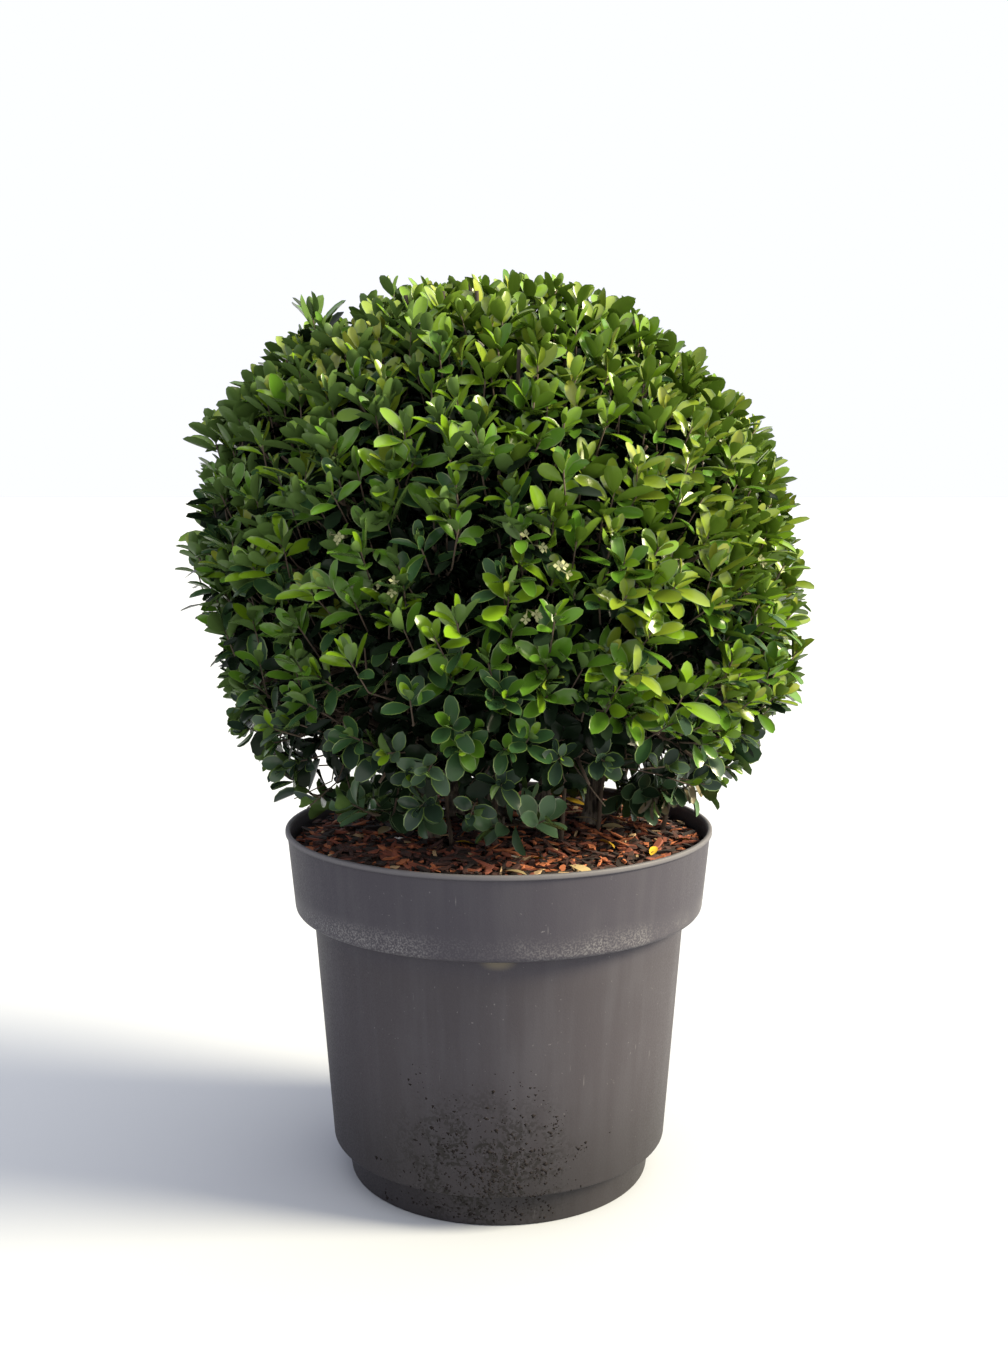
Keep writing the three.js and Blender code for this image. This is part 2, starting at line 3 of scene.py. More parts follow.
import bpy
import numpy as np
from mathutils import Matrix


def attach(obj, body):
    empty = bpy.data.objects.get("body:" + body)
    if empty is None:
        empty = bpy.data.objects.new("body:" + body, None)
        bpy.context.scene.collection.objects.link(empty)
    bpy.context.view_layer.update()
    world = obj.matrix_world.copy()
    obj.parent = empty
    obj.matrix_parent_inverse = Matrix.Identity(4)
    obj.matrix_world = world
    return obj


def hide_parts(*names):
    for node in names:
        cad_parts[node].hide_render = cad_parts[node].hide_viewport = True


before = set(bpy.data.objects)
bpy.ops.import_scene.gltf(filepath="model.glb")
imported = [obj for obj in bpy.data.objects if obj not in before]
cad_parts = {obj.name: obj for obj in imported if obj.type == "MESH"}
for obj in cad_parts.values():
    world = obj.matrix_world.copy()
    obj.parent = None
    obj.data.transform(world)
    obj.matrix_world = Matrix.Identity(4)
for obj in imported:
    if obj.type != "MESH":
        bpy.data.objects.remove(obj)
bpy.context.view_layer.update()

MM = 0.001
UP = np.array([0, 0, 1.0])
SQUARE = ((-1, -1), (1, -1), (1, 1), (-1, 1))
SQUARE_FACES = ((0, 1, 2), (0, 2, 3))
GOLDEN_ANGLE = math.pi * (3 - math.sqrt(5))
STEEP_SINE = 0.9
PLAIN_GLOSS = 0.5
BODY = "root"

# Container, radii to its outside, as in the part's source
POT_HEIGHT = 232 * MM
WALL = 2 * MM
LIP_RADIUS = 140 * MM
LIP_HEIGHT = 3.5 * MM
LIP_WIDTH = 3 * MM
COLLAR_TOP_RADIUS = 138.6 * MM
COLLAR_BOTTOM_RADIUS = 133.8 * MM
COLLAR_BOTTOM_Z = 178 * MM
COLLAR_EDGE_ROUND = 4 * MM
BODY_TOP_RADIUS = 122.4 * MM
BODY_BOTTOM_RADIUS = 110.8 * MM
BODY_BOTTOM_Z = 24 * MM
FOOT_TOP_RADIUS = 102.5 * MM
FOOT_RADIUS = 99.4 * MM
FOOT_EDGE = 2 * MM
FLOOR_THICKNESS = 2.6 * MM
DRAIN_HOLES = 8
DRAIN_HOLE_RADIUS = 7 * MM
DRAIN_HOLE_SIDES = 28
DRAIN_CIRCLE_RADIUS = 72 * MM
DRILL_REACH = 2 * FLOOR_THICKNESS
POT_SEGMENTS = 192
PROFILE_ARC_STEPS = 5
SMALL_ROUND = 0.7 * MM
LEDGE_ROUND = 1.2 * MM
SHARP_ANGLE = 40

# Paint of the container: its tones, and the scale, detail and stretch of each noise
POT_TONES = {
    "slate": (0.0380, 0.0353, 0.0462),
    "warm": (0.0366, 0.0330, 0.0400),
    "dust": (0.053, 0.051, 0.061),
    "chalk": (0.200, 0.196, 0.205),
    "ochre": (0.150, 0.130, 0.092),
    "soil": (0.009, 0.008, 0.008),
}
POT_NOISES = {
    "grain": (900, 3),
    "streaks": (110, 5, (1, 1, 0.03)),
    "clouds": (14, 4),
    "pale_specks": (520, 2),
    "scratches": (300, 2, (1, 1, 0.12)),
    "clumps": (85, 3),
    "specks": (430, 4),
}
# Where each layer of the paint begins and ends, on its noise or height, and its least and greatest share
POT_RANGES = {
    "collar": (COLLAR_BOTTOM_Z - 20 * MM, COLLAR_BOTTOM_Z),
    "dust": (0.85, 1.25, 0, 0.45),
    "edge_top": (COLLAR_BOTTOM_Z + 20 * MM, COLLAR_BOTTOM_Z + 7 * MM),
    "edge_foot": (COLLAR_BOTTOM_Z, COLLAR_BOTTOM_Z + 1 * MM),
    "haze": (0.42, 0.66),
    "haze_clouds": (0.36, 0.58, 0.1, 0.6),
    "lip": (POT_HEIGHT - LIP_HEIGHT, POT_HEIGHT - LIP_HEIGHT / 2, 0, 0.3),
    "pale_specks": (0.71, 0.78, 0, 0.4),
    "scratches": (0.72, 0.80, 0, 0.3),
    "clumps": (0.40, 0.56),
    "specks": (0.47, 0.54),
    "foot": (120 * MM, 8 * MM, 0, 0.68),
    "foot_clouds": (0.3, 0.6, 0.6, 1),
    "roughness": (0.3, 0.7, 0.50, 0.66),
}
# A pale smudge under the collar and the splash of soil near the foot: place and reach on each axis
SMUDGE = ((0, -BODY_TOP_RADIUS, COLLAR_BOTTOM_Z - 3 * MM), (13 * MM, 12 * MM, 6 * MM))
SMUDGE_SHARE = 0.6
SPLASH = ((-10 * MM, -BODY_BOTTOM_RADIUS, 36 * MM), (82 * MM, 70 * MM, 74 * MM))
SPOT_FADE = (1.0, 0.2)
POT_ROUGHNESS = 0.55
POT_GLOSS = 0.2
POT_BUMP = (0.2, 0.3 * MM)

# Grainy materials: roughness, noise and the range of it that shows, then dark and light tone and the bump
GRAINY = {
    "potting_soil": (
        0.95, (220, 8), (0.35, 0.68),
        (0.010, 0.007, 0.005), (0.055, 0.036, 0.024), (0.8, 2 * MM),
    ),
    "mulch_bed": (
        0.92, (160, 8), (0.36, 0.66),
        (0.008, 0.004, 0.003), (0.050, 0.018, 0.013), (0.8, 2 * MM),
    ),
    "bark": (
        0.85, (420, 6, (1, 1, 0.22)), (0.36, 0.64),
        (0.030, 0.023, 0.017), (0.150, 0.122, 0.092), (0.7, 0.8 * MM),
    ),
}
# Paler flecks on the bark: noise, the range of it that shows, and tone
BARK_FLECKS = ((160, 4), (0.56, 0.70, 0, 0.6), (0.240, 0.215, 0.180))
# Sockets of a node that mixes colours: share, first and second colour, and the result
MIX_SHARE = 0
MIX_FIRST = 6
MIX_SECOND = 7
MIX_RESULT = 2

# Crumbs of soil that cling to the front of the container; side and height are a mean and a spread
CRUMBS = 1700
CRUMB_SEED = 61
CRUMB_CLUMPS = 90
CRUMB_CLUMP_SPREAD = (1.5 * MM, 13 * MM)
CRUMB_SIDE = (-8 * MM, 26 * MM)
CRUMB_WIDEST_TURN = 1.3
CRUMB_LOWEST_Z = 4 * MM
CRUMB_HEIGHT = (26 * MM, 26 * MM)
CRUMB_SIZE = (0.25 * MM, 1.15 * MM)
CRUMB_FINENESS = 3
CRUMB_RAGGED = (0.2, 1.9)
CRUMB_FLATNESS = 0.13
CRUMB_TONE = (0.014, 0.012, 0.012)
CRUMB_ROUGHNESS = 0.95
CRUMB_GLOSS = 0.05

# Fill of the container, as in the part's source
SOIL_TOP_Z = 213 * MM
MULCH_EDGE_Z = 222 * MM
MULCH_TOP_Z = 225 * MM
MULCH_LEVEL_RADIUS = 104 * MM
GAP = 0.3 * MM

# Mulch: a rough bed with shreds of bark lying on it
MULCH_SEED = 31
BED_RINGS = 60
BED_SEGMENTS = 150
BED_RELIEF = 0.8 * MM
BED_SINK = 2.5 * MM
SHREDS = 3200
SHRED_LENGTH = (6 * MM, 27 * MM)
SHRED_SHORTENING = (0.4, 1)
SHRED_WIDTH = (1.0 * MM, 4.4 * MM)
SHRED_WIDEST_SHARE = 0.45
SHRED_THICKNESS = (0.6 * MM, 1.8 * MM)
SHRED_TILT = 13
SHRED_RAGGED = 0.22
SHRED_BEND = 0.6
SHRED_RING_AT = 0.28
SHRED_CLEAR_OF_WALL = 5 * MM
SHRED_ROOM_SHARE = 1.8
SHRED_RISE = 2.2 * MM
SHRED_ROUGHNESS = 0.88
SHRED_TONES = {
    "dark": (0.012, 0.005, 0.004),
    "brown": (0.048, 0.017, 0.013),
    "red": (0.165, 0.044, 0.024),
    "orange": (0.350, 0.108, 0.042),
    "straw": (0.400, 0.270, 0.150),
}
SHRED_SHARES = (0.34, 0.29, 0.20, 0.14, 0.03)
# Leaves fallen on the mulch: places of those seen, and how many more there are
FALLEN_SPOTS = ((97, -59), (10, -84), (24, -82))
FALLEN_ELSEWHERE = 15
FALLEN_RADII = (40 * MM, 122 * MM)
FALLEN_LENGTH = 17 * MM
FALLEN_SIZES = (0.7, 1.1)
FALLEN_RISE = 4 * MM
FALLEN_TILT = 6
FALLEN_ROLL = 0.2
FALLEN_SEED = 81
FALLEN_TONES = {"yellow": (0.50, 0.32, 0.035), "tan": (0.36, 0.28, 0.15)}

# Clipped crown, as in the part's source
CROWN_RADIUS = 198 * MM
CROWN_CENTRE = np.array([0, 0, 387 * MM])
CROWN_FLOOR_Z = 258 * MM
CROWN_SPRAYS = 100
CROWN_LOWEST_SINE = -0.66
CROWN_SEED = 11
# Swellings and dents of the ball: azimuth, elevation, height and spread
CROWN_BULGES = (
    (185, 36, 15 * MM, 28),
    (0, 88, 4 * MM, 20),
    (340, -18, 9 * MM, 9),
    (192, -9, -14 * MM, 9),
    (0, 48, -7 * MM, 14),
    (75, 10, 6 * MM, 25),
    (120, 45, -5 * MM, 25),
    (280, 20, 5 * MM, 30),
)
CORE_SHARE = 0.78
CORE_FLOOR_Z = 282 * MM
# Shoots that stand out of the clipped outline: azimuth, elevation and how far they stand out
STRAY_SHOOTS = ((194, 55, 15 * MM), (347, -18, 9 * MM), (345, -33, 3 * MM))
STRAY_OPENING = 0.6
STRAY_SIZE = 1.2
TWIG_SINK = 12 * MM
TWIG_UPWARD_PULL = 0.3
CROWN_TWIG_LENGTH = 20 * MM

# Finer shoots that carry the crown's rule on, in layers: number of shoots, least and greatest depth
# under the clipped outline, leaves on each, and by how many tones the layer is darker, as painted shade
# deeper in the crown
LAYERS = (
    (1100, -7 * MM, 4 * MM, 7, 0),
    (800, 15 * MM, 28 * MM, 6, 4),
    (1000, 28 * MM, 56 * MM, 5, 5),
    (700, 58 * MM, 95 * MM, 6, 5),
)
# Lumps of the layers, and tufts that the clipping left proud: azimuth, elevation, height and spread
LUMP_DEPTH = 10 * MM
LUMP_WAVES = 23
TUFTS = ((0, 37, 8 * MM, 13), (183, 33, 8 * MM, 12), (0, -5, 6 * MM, 14), (180, 70, 5 * MM, 9))
SHOOT_LENGTH = 26 * MM
SHOOT_UPWARD_SHARE = 0.52
LOW_BAND_UPWARD_SHARE = 0.28
# The sides, azimuth and spread, on which the shoots stand more upright
UPRIGHT_SIDES = ((180, 50), (0, 40))
UPRIGHT_SHARE = 0.72
SHOOT_EASE = 1.3
SHOOT_SCATTER = 0.16
SHOOT_JITTER = 0.03
SHOOT_FORK_AT = (0.55, 0.98)
# Leaves at the end of a shoot and older ones below: place on the shoot, opening and length, first and last
ROSETTE = ((0.58, 0.98), (62, 15), (21.6 * MM, 11 * MM))
OLD_LEAVES = 3
OLD_SPRAY = ((-0.1, 0.45), (95, 80), (19 * MM, 21 * MM))
# Older leaves, low on each shoot, are darker by some tones: painted shade under the rosettes
OLD_SHADE_DROP = 2
LOW_BAND_SINES = (-0.62, -0.12)
LOW_BAND_SIZE = 0.74
LOW_BAND_SHARE = 0.85
LOW_BAND_SHADE = 0.22
# The outer shoots stand further apart on the lower half of the ball
LOWER_HALF_SINES = (-0.30, 0.40)
LOWER_HALF_SHARE = 0.78
# Sides where the low band is open, or hangs lower: azimuth, spread, how far the outer and the inner shoots
# are thinned, and how far the foot of the crown is raised
OPEN_SIDES = (
    (200, 46, 0.42, 1.0, 4 * MM),
    (306, 28, 0.62, 0.62, 26 * MM),
    (90, 50, 0, 0, -23 * MM),
)
# Gaps that can be seen through, low on the ball: azimuth, elevation, how far it is thinned and spread
GAPS = ((230, -31, 1.0, 9),)
# Shoots under the crown, and the side, azimuth and spread, on which they hang lower
UNDERSIDE_SHOOTS = 150
UNDERSIDE_RADIUS = 118 * MM
UNDERSIDE_SHOOT_RISE = 6 * MM
UNDERSIDE_TILT = 0.15
UNDERSIDE_SPRAY = (OLD_SPRAY[0], ROSETTE[1], OLD_SPRAY[2])
UNDERSIDE_LEAVES = 6
HANGING_SIDE = (90, 55)
HANGING_DROP = 47 * MM

# Leaf: places along it and half its width there, both as shares
LEAF_OUTLINE = ((0.09, 0.12), (0.28, 0.66), (0.52, 1.0), (0.76, 0.92), (0.93, 0.57))
INNER_LEAF_OUTLINE = ((0.26, 0.62), (0.60, 1.0), (0.91, 0.62))
LEAF_WIDTH_SHARE = 0.45
LEAF_SIZES = (0.88, 1.12)
SHOOT_SIZES = (0.82, 1.18)
LEAF_OPEN_SPREAD = 9
LEAF_FOLD = (10, 30)
LEAF_CURL = (-0.25, 0.55)
LEAF_TWIST = 0.38
LEAF_FACES_UP = 0.25
LEAF_MIDRIB = 0.4 * MM
LEAVES_PER_PIECE = 9000
LEAF_ROUGHNESS = 0.24

# Foliage tones and their gloss, from the painted shade of the inside to the youngest tips, then two cooler
# ones of painted shade low on the ball
TONES = {
    "inner": ((0.006, 0.012, 0.006), 0.08),
    "deep": ((0.023, 0.057, 0.020), 0.17),
    "mid": ((0.054, 0.128, 0.011), 0.24),
    "fresh": ((0.103, 0.190, 0.008), 0.32),
    "bright": ((0.128, 0.182, 0.016), 0.34),
    "tip": ((0.190, 0.223, 0.026), 0.34),
    "cool_shade_deep": ((0.018, 0.034, 0.022), 0.18),
    "cool_shade_mid": ((0.043, 0.074, 0.043), 0.20),
}
# The first tone is painted shade, for leaves deep inside and under the crown
INNER_SHADE_TONE = 0
TIP_TONE = 5
# Many shoots low on the ball take the cooler tones, painted shade under the ball: which tones change, by how
# many steps, and how often
COOL_FROM = (1, 2)
COOL_STEPS = 5
COOL_SHARE = 0.78
# A shoot's tone: the values at which the next tone begins, and what makes up the value; the gains on the
# sunny side and on top are partly fresher growth and partly painted light
TONE_STEPS = (0.34, 0.56, 0.76)
TONE_LEAST = 0.37
TONE_SUNNY_GAIN = 0.39
TONE_UPPER_GAIN = 0.36
TONE_PATCH_GAIN = 0.10
TONE_SCATTER = 0.16
PATCH_WAVES = 9
PATCH_BENDS = (2, 1.3, 1.7)
SUNNY_SIDE = (-5, 35)
SUNNY_COSINES = (0.0, 0.75)
UPPER_SINES = (0.2, 0.8)
YOUNG_LEAVES = (3, 1)
YOUNG_SHARE = 0.6
# Rosettes of fresh growth that stand out on the front, their lighter tone partly painted light that they
# catch: azimuth and elevation
FRESH_SPOTS = (
    (232, 0), (242, 0), (240, -7), (235, -10), (247, -9), (255, -13), (249, -20), (259, -29), (262, -14),
    (261, -3), (268, -2), (277, 2), (280, 24), (292, 20), (286, -5), (294, -10), (298, 3), (303, -20),
    (305, -14), (309, -10), (314, 8),
)
FRESH_SPOT_SPREAD = 3.6
FRESH_SPOT_GAIN = 0.33
FRESH_SPOT_RISE = 7 * MM
# Pale edges of the leaves, partly painted highlight where the edges catch light
MARGIN_HIGHLIGHT_TONE = (0.098, 0.156, 0.040)
LOW_MARGIN_HIGHLIGHT_TONE = (0.125, 0.175, 0.090)
MARGIN_SHARE = 0.12
MARGIN_RISE = 0.12 * MM
# Undersides of the outer leaves: those on the sunny side are fresher, painted light that comes through them
UNDERSIDE_TONE = (0.064, 0.112, 0.030)
SUNNY_UNDERSIDE_TONE = (0.086, 0.148, 0.017)
SUNNY_UNDERSIDE_COSINE = 0.35
UNDERSIDE_GLOSS = 0.2
# Tones of the low sprays with their gloss, and the share of shoots in each
LOW_TONES = {
    "low_shade": ((0.020, 0.040, 0.019), 0.22),
    "low_mid": ((0.066, 0.122, 0.060), 0.22),
    "low_fresh": ((0.130, 0.200, 0.055), 0.22),
    "low_dry": ((0.170, 0.145, 0.088), 0.22),
}
LOW_TONE_SHARES = (0.48, 0.40, 0.10, 0.02)
# Sprays in deeper shade, and one whose leaves have mostly dried, shrunk and hang
SPRAY_TONE_SHARES = {
    "low_spray_left": (0.86, 0.08, 0.06, 0),
    "low_spray_front_left": (0.70, 0.22, 0.08, 0),
    "low_spray_right": (0.25, 0.20, 0.05, 0.50),
}
DRY_TONE = 3
DRY_DROOP = 1.3
DRY_SIZE = 0.8
DRY_WIDTH_SHARE = 0.4

# Thin shoots from the mulch into the crown: places of their feet
BASAL_FEET = ((-2, -42), (65, 0), (108, 2), (-30, -38), (40, -30), (-70, 30), (12, 84), (82, 46))
BASAL_TOP_Z = 305 * MM
BASAL_SPREAD = 1.15
BASAL_RADII = (1.7 * MM, 1.2 * MM)
BASAL_RINGS = 8
BASAL_WANDER = 2.2 * MM
BASAL_SEED = 71

# Blossom: azimuth and elevation of the clusters seen on the front, and how many more there are elsewhere
BLOSSOM_SPOTS = ((252, 4), (276, 11), (280, 7), (302, 8))
BLOSSOM_ELSEWHERE = 9
BLOSSOM_ELEVATIONS = (-6, 16)
BLOSSOM_FLOWERS = 3
BLOSSOM_SCATTER = 0.6
BLOSSOM_PETALS = 4
BLOSSOM_PETAL_LENGTH = 3.2 * MM
BLOSSOM_PETAL_WIDTH = 2.6 * MM
BLOSSOM_PETAL_WIDEST_AT = 0.6
BLOSSOM_PETAL_OPENS = (68, 8)
BLOSSOM_STALK = 9 * MM
BLOSSOM_STALK_SIZES = (0.7, 1.2)
BLOSSOM_STALK_RADIUS = 0.35 * MM
BLOSSOM_DEPTH = 12 * MM
BLOSSOM_SEED = 41
BLOSSOM_TONE = (0.215, 0.225, 0.105)
BLOSSOM_ROUGHNESS = 0.6

# Clipped twig ends near the top: azimuth and elevation of those seen, and how many more there are
CUT_SPOTS = ((242, 79), (223, 67), (260, 68))
CUT_ELSEWHERE = 9
CUT_ELEVATIONS = (35, 75)
CUT_DEPTH = 7 * MM
CUT_LENGTH = 34 * MM
CUT_RADIUS = 1.3 * MM
CUT_TONE = (0.020, 0.013, 0.009)
CUT_ROUGHNESS = 0.9

# Stems, as in the part's source: foot, tip and radii
STEM_FLARE = 0.55
STEM_FLARE_HEIGHT = 7 * MM
STEM_SWEEP_AT = 0.3
STEM_SWEEP = 0.12
STEMS = {
    "stem_main": (-5, -5, 5, 3, 7.5, 5.5),
    "stem_right": (62, 25, 72, 31, 5.2, 3.8),
    "stem_left": (-45, -17, -60, -21, 5.2, 3.8),
    "stem_back_left": (-31, 48, -42, 66, 4.8, 3.6),
    "stem_back_right": (30, 58, 40, 77, 4.8, 3.6),
}
STEM_SEED = 50
STEM_SIDES = 36
STEM_RINGS = 60
BARK_RELIEF = 0.055
BARK_WAVES = (3, 5, 8, 13)
BARK_TWIST = 3
BARK_GRAIN = 0.25

# Leaders that the stems grow on into, inside the crown, with boughs, twigs and fine shoots
LEADER_SPREAD = 1.55
LEADER_PINCH = np.array([0.94, 0.94, 1])
LEADER_TOP_Z = 400 * MM
MAIN_LEADER_TOP_Z = 490 * MM
LEADER_TIP_SHARE = 0.4
LEADER_SIDES = 8
LEADER_RINGS = 14
BOUGH_RADII = (2.5 * MM, 1.4 * MM)
BOUGH_SIDES = 6
BOUGH_RINGS = 9
BOUGH_FORK_DROP = 0.55
BOUGH_BEND = 0.35
BOUGH_LIFT = 0.5
BOUGH_OUTER_RINGS = 3
MAIN_TWIG_RADII = (1.4 * MM, 0.8 * MM)
SHOOT_RADII = (0.85 * MM, 0.45 * MM)
SHOOT_SIDES = 4
SHOOT_RINGS = 5
TWIG_TONE = (0.060, 0.041, 0.027)
TWIG_ROUGHNESS = 0.8

# Low sprays, as in the part's source: stem, heading, length, rise of the tip and seed; last, how many
# finer shoots each of its twigs has
LOW_SPRAYS = {
    "low_spray_left": ("stem_left", 178, 68 * MM, 6 * MM, 21, 1),
    "low_spray_front_left": ("stem_left", 247, 66 * MM, 8 * MM, 22, 1),
    "low_spray_front": ("stem_main", 284, 82 * MM, 2 * MM, 23, 1),
    "low_spray_right": ("stem_right", 335, 50 * MM, 8 * MM, 24, 3),
    "low_spray_back_right": ("stem_back_right", 48, 42 * MM, 8 * MM, 25, 3),
    "low_spray_back_left": ("stem_back_left", 124, 46 * MM, 8 * MM, 26, 2),
}
LOW_SPRAY_ROOT_RISE = 22 * MM
LOW_SPRAY_RADII = (1.8 * MM, 1.08 * MM)
LOW_SPRAY_RINGS = 9
LOW_SPRAY_SAG = 4 * MM
LOW_SPRAY_SECTOR = 62
LOW_TWIGS = 5
LOW_TWIG_AT = (0.2, 0.96)
LOW_TWIG_OPEN = 55
LOW_TWIG_LIFT = 25
LOW_EDGE_RADIUS = 152 * MM
LOW_CLEAR_OF_MULCH = 3 * MM
LOW_CLEAR_OF_LIP = 4 * MM
LOW_SHOOT_FAN = 42
LOW_SHOOT_LENGTH = 24 * MM
LOW_SHOOT_SIZES = (0.6, 1.2)
LOW_ROSETTE_LEAVES = 8
LOW_ROSETTE = ((0.15, 0.98), (84, 30), (21 * MM, 15 * MM))
LOW_LEAF_WIDTH_SHARE = 0.6

# Kinds of pieces: material slot, and the nodes of the part that they stand for
MULCH_KIND = ("mulch", ["bark_mulch"])
CROWN_LEAF_KIND = ("foliage", ["crown_ball"])
CROWN_WOOD_KIND = ("bark", ["crown_ball"])
LOW_LEAF_KIND = ("low_foliage", list(LOW_SPRAYS))
LOW_WOOD_KIND = ("bark", list(LOW_SPRAYS))

# Camera at the photograph's angle, for a picture of 1008 by 1358
PICTURE_HEIGHT = 1358
FOCAL_PIXELS = 1500
SENSOR = 36
CAMERA_PLACE = (3.4 * MM, -973 * MM, 451.7 * MM)
CAMERA_PITCH = 7.29

# Stage: a pale floor, an even white surround, a soft key light from the right and a broad fill round it
FLOOR_HALF_SIZE = 60
FLOOR_TONE = (0.325, 0.345, 0.395)
FLOOR_ROUGHNESS = 0.9
SURROUND_TONE = (0.965, 0.98, 1.06)
SURROUND_STRENGTH = 1.02
# Lights: azimuth, elevation, strength, tone and softness
LIGHTS = {
    "key": (-10, 33, 11.2, (1.0, 0.89, 0.62), 20),
    "fill": (-22, 42, 3.5, (1.0, 0.95, 0.78), 120),
}


def unit(vectors):
    """Vectors of length one."""
    return vectors / np.linalg.norm(vectors, axis=-1, keepdims=True)


def lerp(low, high, share):
    """The value a share of the way from low to high."""
    return low + (high - low) * share


def smooth_share(values, low, high):
    """Values turned into shares that rise smoothly from nought at low to one at high."""
    share = np.clip((values - low) / (high - low), 0, 1)
    return share * share * (3 - 2 * share)


def round_turns(count):
    """Turns of points spread evenly round a circle, in radians."""
    return 2 * np.pi * np.arange(count) / count


def polar(radius, turn, height):
    """Points from their distances to an upright axis, turns round it in radians and heights."""
    return np.stack(np.broadcast_arrays(radius * np.cos(turn), radius * np.sin(turn), height), axis=-1)


def heading(azimuth, elevation):
    """Unit vector from an azimuth, counted from +X towards +Y, and an elevation, both in degrees."""
    rise = np.radians(elevation)
    return polar(np.cos(rise), np.radians(azimuth), np.sin(rise))


def square_to(axes):
    """Two unit vectors square to each axis and to each other."""
    steep = np.abs(axes[:, 2:]) >= STEEP_SINE
    first = unit(np.cross(np.where(steep, np.array([1.0, 0, 0]), UP), axes))
    return first, np.cross(axes, first)


def leaning(axes, opens, turns):
    """Unit vectors that lean from their axes by opening angles in degrees, turned round them in radians."""
    first, second = square_to(axes)
    side = first * np.cos(turns)[:, None] + second * np.sin(turns)[:, None]
    lean = np.radians(opens)[:, None]
    return axes * np.cos(lean) + side * np.sin(lean)


def without(vectors, axes):
    """What is left of vectors, as unit vectors, when their share along the axes is taken away."""
    return unit(vectors - axes * np.sum(vectors * axes, axis=-1, keepdims=True))


def bezier(start, leave, arrive, end, count):
    """Points along curves from start to end, shaped by two inner points: (curves, count, 3)."""
    share = np.linspace(0, 1, count)[None, :, None]
    rest = 1 - share
    return (
        start[:, None] * rest**3
        + leave[:, None] * 3 * rest**2 * share
        + arrive[:, None] * 3 * rest * share**2
        + end[:, None] * share**3
    )


def arc(first, corner, last, count):
    """Points of a smooth curve from first to last, drawn towards a corner."""
    share = np.linspace(0, 1, count)[:, None]
    return first * (1 - share) ** 2 + corner * 2 * share * (1 - share) + last * share**2


def through(first, middle, last, count):
    """Points of a smooth curve through three points."""
    return arc(first, 2 * middle - (first + last) / 2, last, count)


def new_object(name, mesh_arrays, material, smooth=True):
    """A new object of the scene, its mesh made from arrays of points and triangles."""
    points, triangles = mesh_arrays
    mesh = bpy.data.meshes.new(name)
    mesh.vertices.add(len(points))
    mesh.vertices.foreach_set("co", np.ascontiguousarray(points, np.float32).ravel())
    mesh.loops.add(3 * len(triangles))
    mesh.loops.foreach_set("vertex_index", np.ascontiguousarray(triangles, np.int32).ravel())
    mesh.polygons.add(len(triangles))
    mesh.polygons.foreach_set("loop_start", np.arange(0, 3 * len(triangles), 3, dtype=np.int32))
    mesh.polygons.foreach_set("use_smooth", np.full(len(triangles), smooth))
    mesh.update(calc_edges=True)
    mesh.materials.append(material)
    thing = bpy.data.objects.new(name, mesh)
    bpy.context.scene.collection.objects.link(thing)
    return thing


def make_piece(name, mesh_arrays, material, slot, nodes, smooth=True):
    """A piece of the object, which stands for nodes of the part and rides on its body."""
    piece = new_object(name, mesh_arrays, material, smooth)
    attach(piece, BODY)
    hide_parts(*nodes)
    return piece


def joined(meshes):
    """Several meshes as one: their points and triangles in a row."""
    starts = np.cumsum([0] + [len(points) for points, _ in meshes])
    triangles = [some + start for (_, some), start in zip(meshes, starts)]
    return np.concatenate([points for points, _ in meshes]), np.concatenate(triangles)


def repeated(points, faces):
    """The mesh of many things of one make: their points (things, points, 3) and the faces of one."""
    starts = np.arange(len(points))[:, None, None] * points.shape[1]
    return points.reshape(-1, 3), (np.asarray(faces)[None] + starts).reshape(-1, 3)


def ring_triangles(rings, sides):
    """Triangles between rings of points in a row, each of as many sides."""
    row, column = np.meshgrid(np.arange(rings - 1), np.arange(sides), indexing="ij")
    here = (row * sides + column).ravel()
    following = (row * sides + (column + 1) % sides).ravel()
    first = np.stack([here, following, following + sides], axis=1)
    second = np.stack([here, following + sides, here + sides], axis=1)
    return np.concatenate([first, second])


def fan(centre, start, sides):
    """Triangles from a centre point to a ring of points."""
    here = np.arange(sides)
    return np.stack([np.full(sides, centre), start + here, start + (here + 1) % sides], axis=1)


def closed_triangles(rings, sides):
    """Triangles of rings of points, closed by a foot point and a head point that come after them."""
    count = rings * sides
    foot = fan(count, 0, sides)[:, ::-1]
    return np.concatenate([ring_triangles(rings, sides), foot, fan(count + 1, count - sides, sides)])


def closed(rings, foot_z, head_z):
    """A mesh of rings of points (rings, sides, 3), closed by points on the axis at two heights.

    Its triangles face outwards where the rings follow each other upwards."""
    points = np.concatenate([rings.reshape(-1, 3), [UP * foot_z, UP * head_z]])
    return points, closed_triangles(*rings.shape[:2])


def tubes(paths, radii, sides):
    """Closed tubes round paths of points (tubes, points, 3), with one radius or a radius at each point."""
    count, rings = paths.shape[:2]
    steps = np.diff(paths, axis=1)
    ahead = np.concatenate([steps, steps[:, -1:]], axis=1)
    behind = np.concatenate([steps[:, :1], steps], axis=1)
    tangents = unit(ahead + behind)
    first, _ = square_to(unit(paths[:, -1] - paths[:, 0]))
    spokes = without(first[:, None] + np.zeros_like(tangents), tangents)
    others = np.cross(tangents, spokes)
    angles = round_turns(sides)[:, None]
    rounds = spokes[:, :, None] * np.cos(angles) + others[:, :, None] * np.sin(angles)
    points = paths[:, :, None] + rounds * np.broadcast_to(radii, (count, rings))[:, :, None, None]
    inner = np.arange(1, sides - 1)
    foot = np.stack([np.zeros_like(inner), inner + 1, inner], axis=1)
    head = foot[:, ::-1] + (rings - 1) * sides
    faces = np.concatenate([ring_triangles(rings, sides), foot, head])
    return repeated(points.reshape(count, -1, 3), faces)


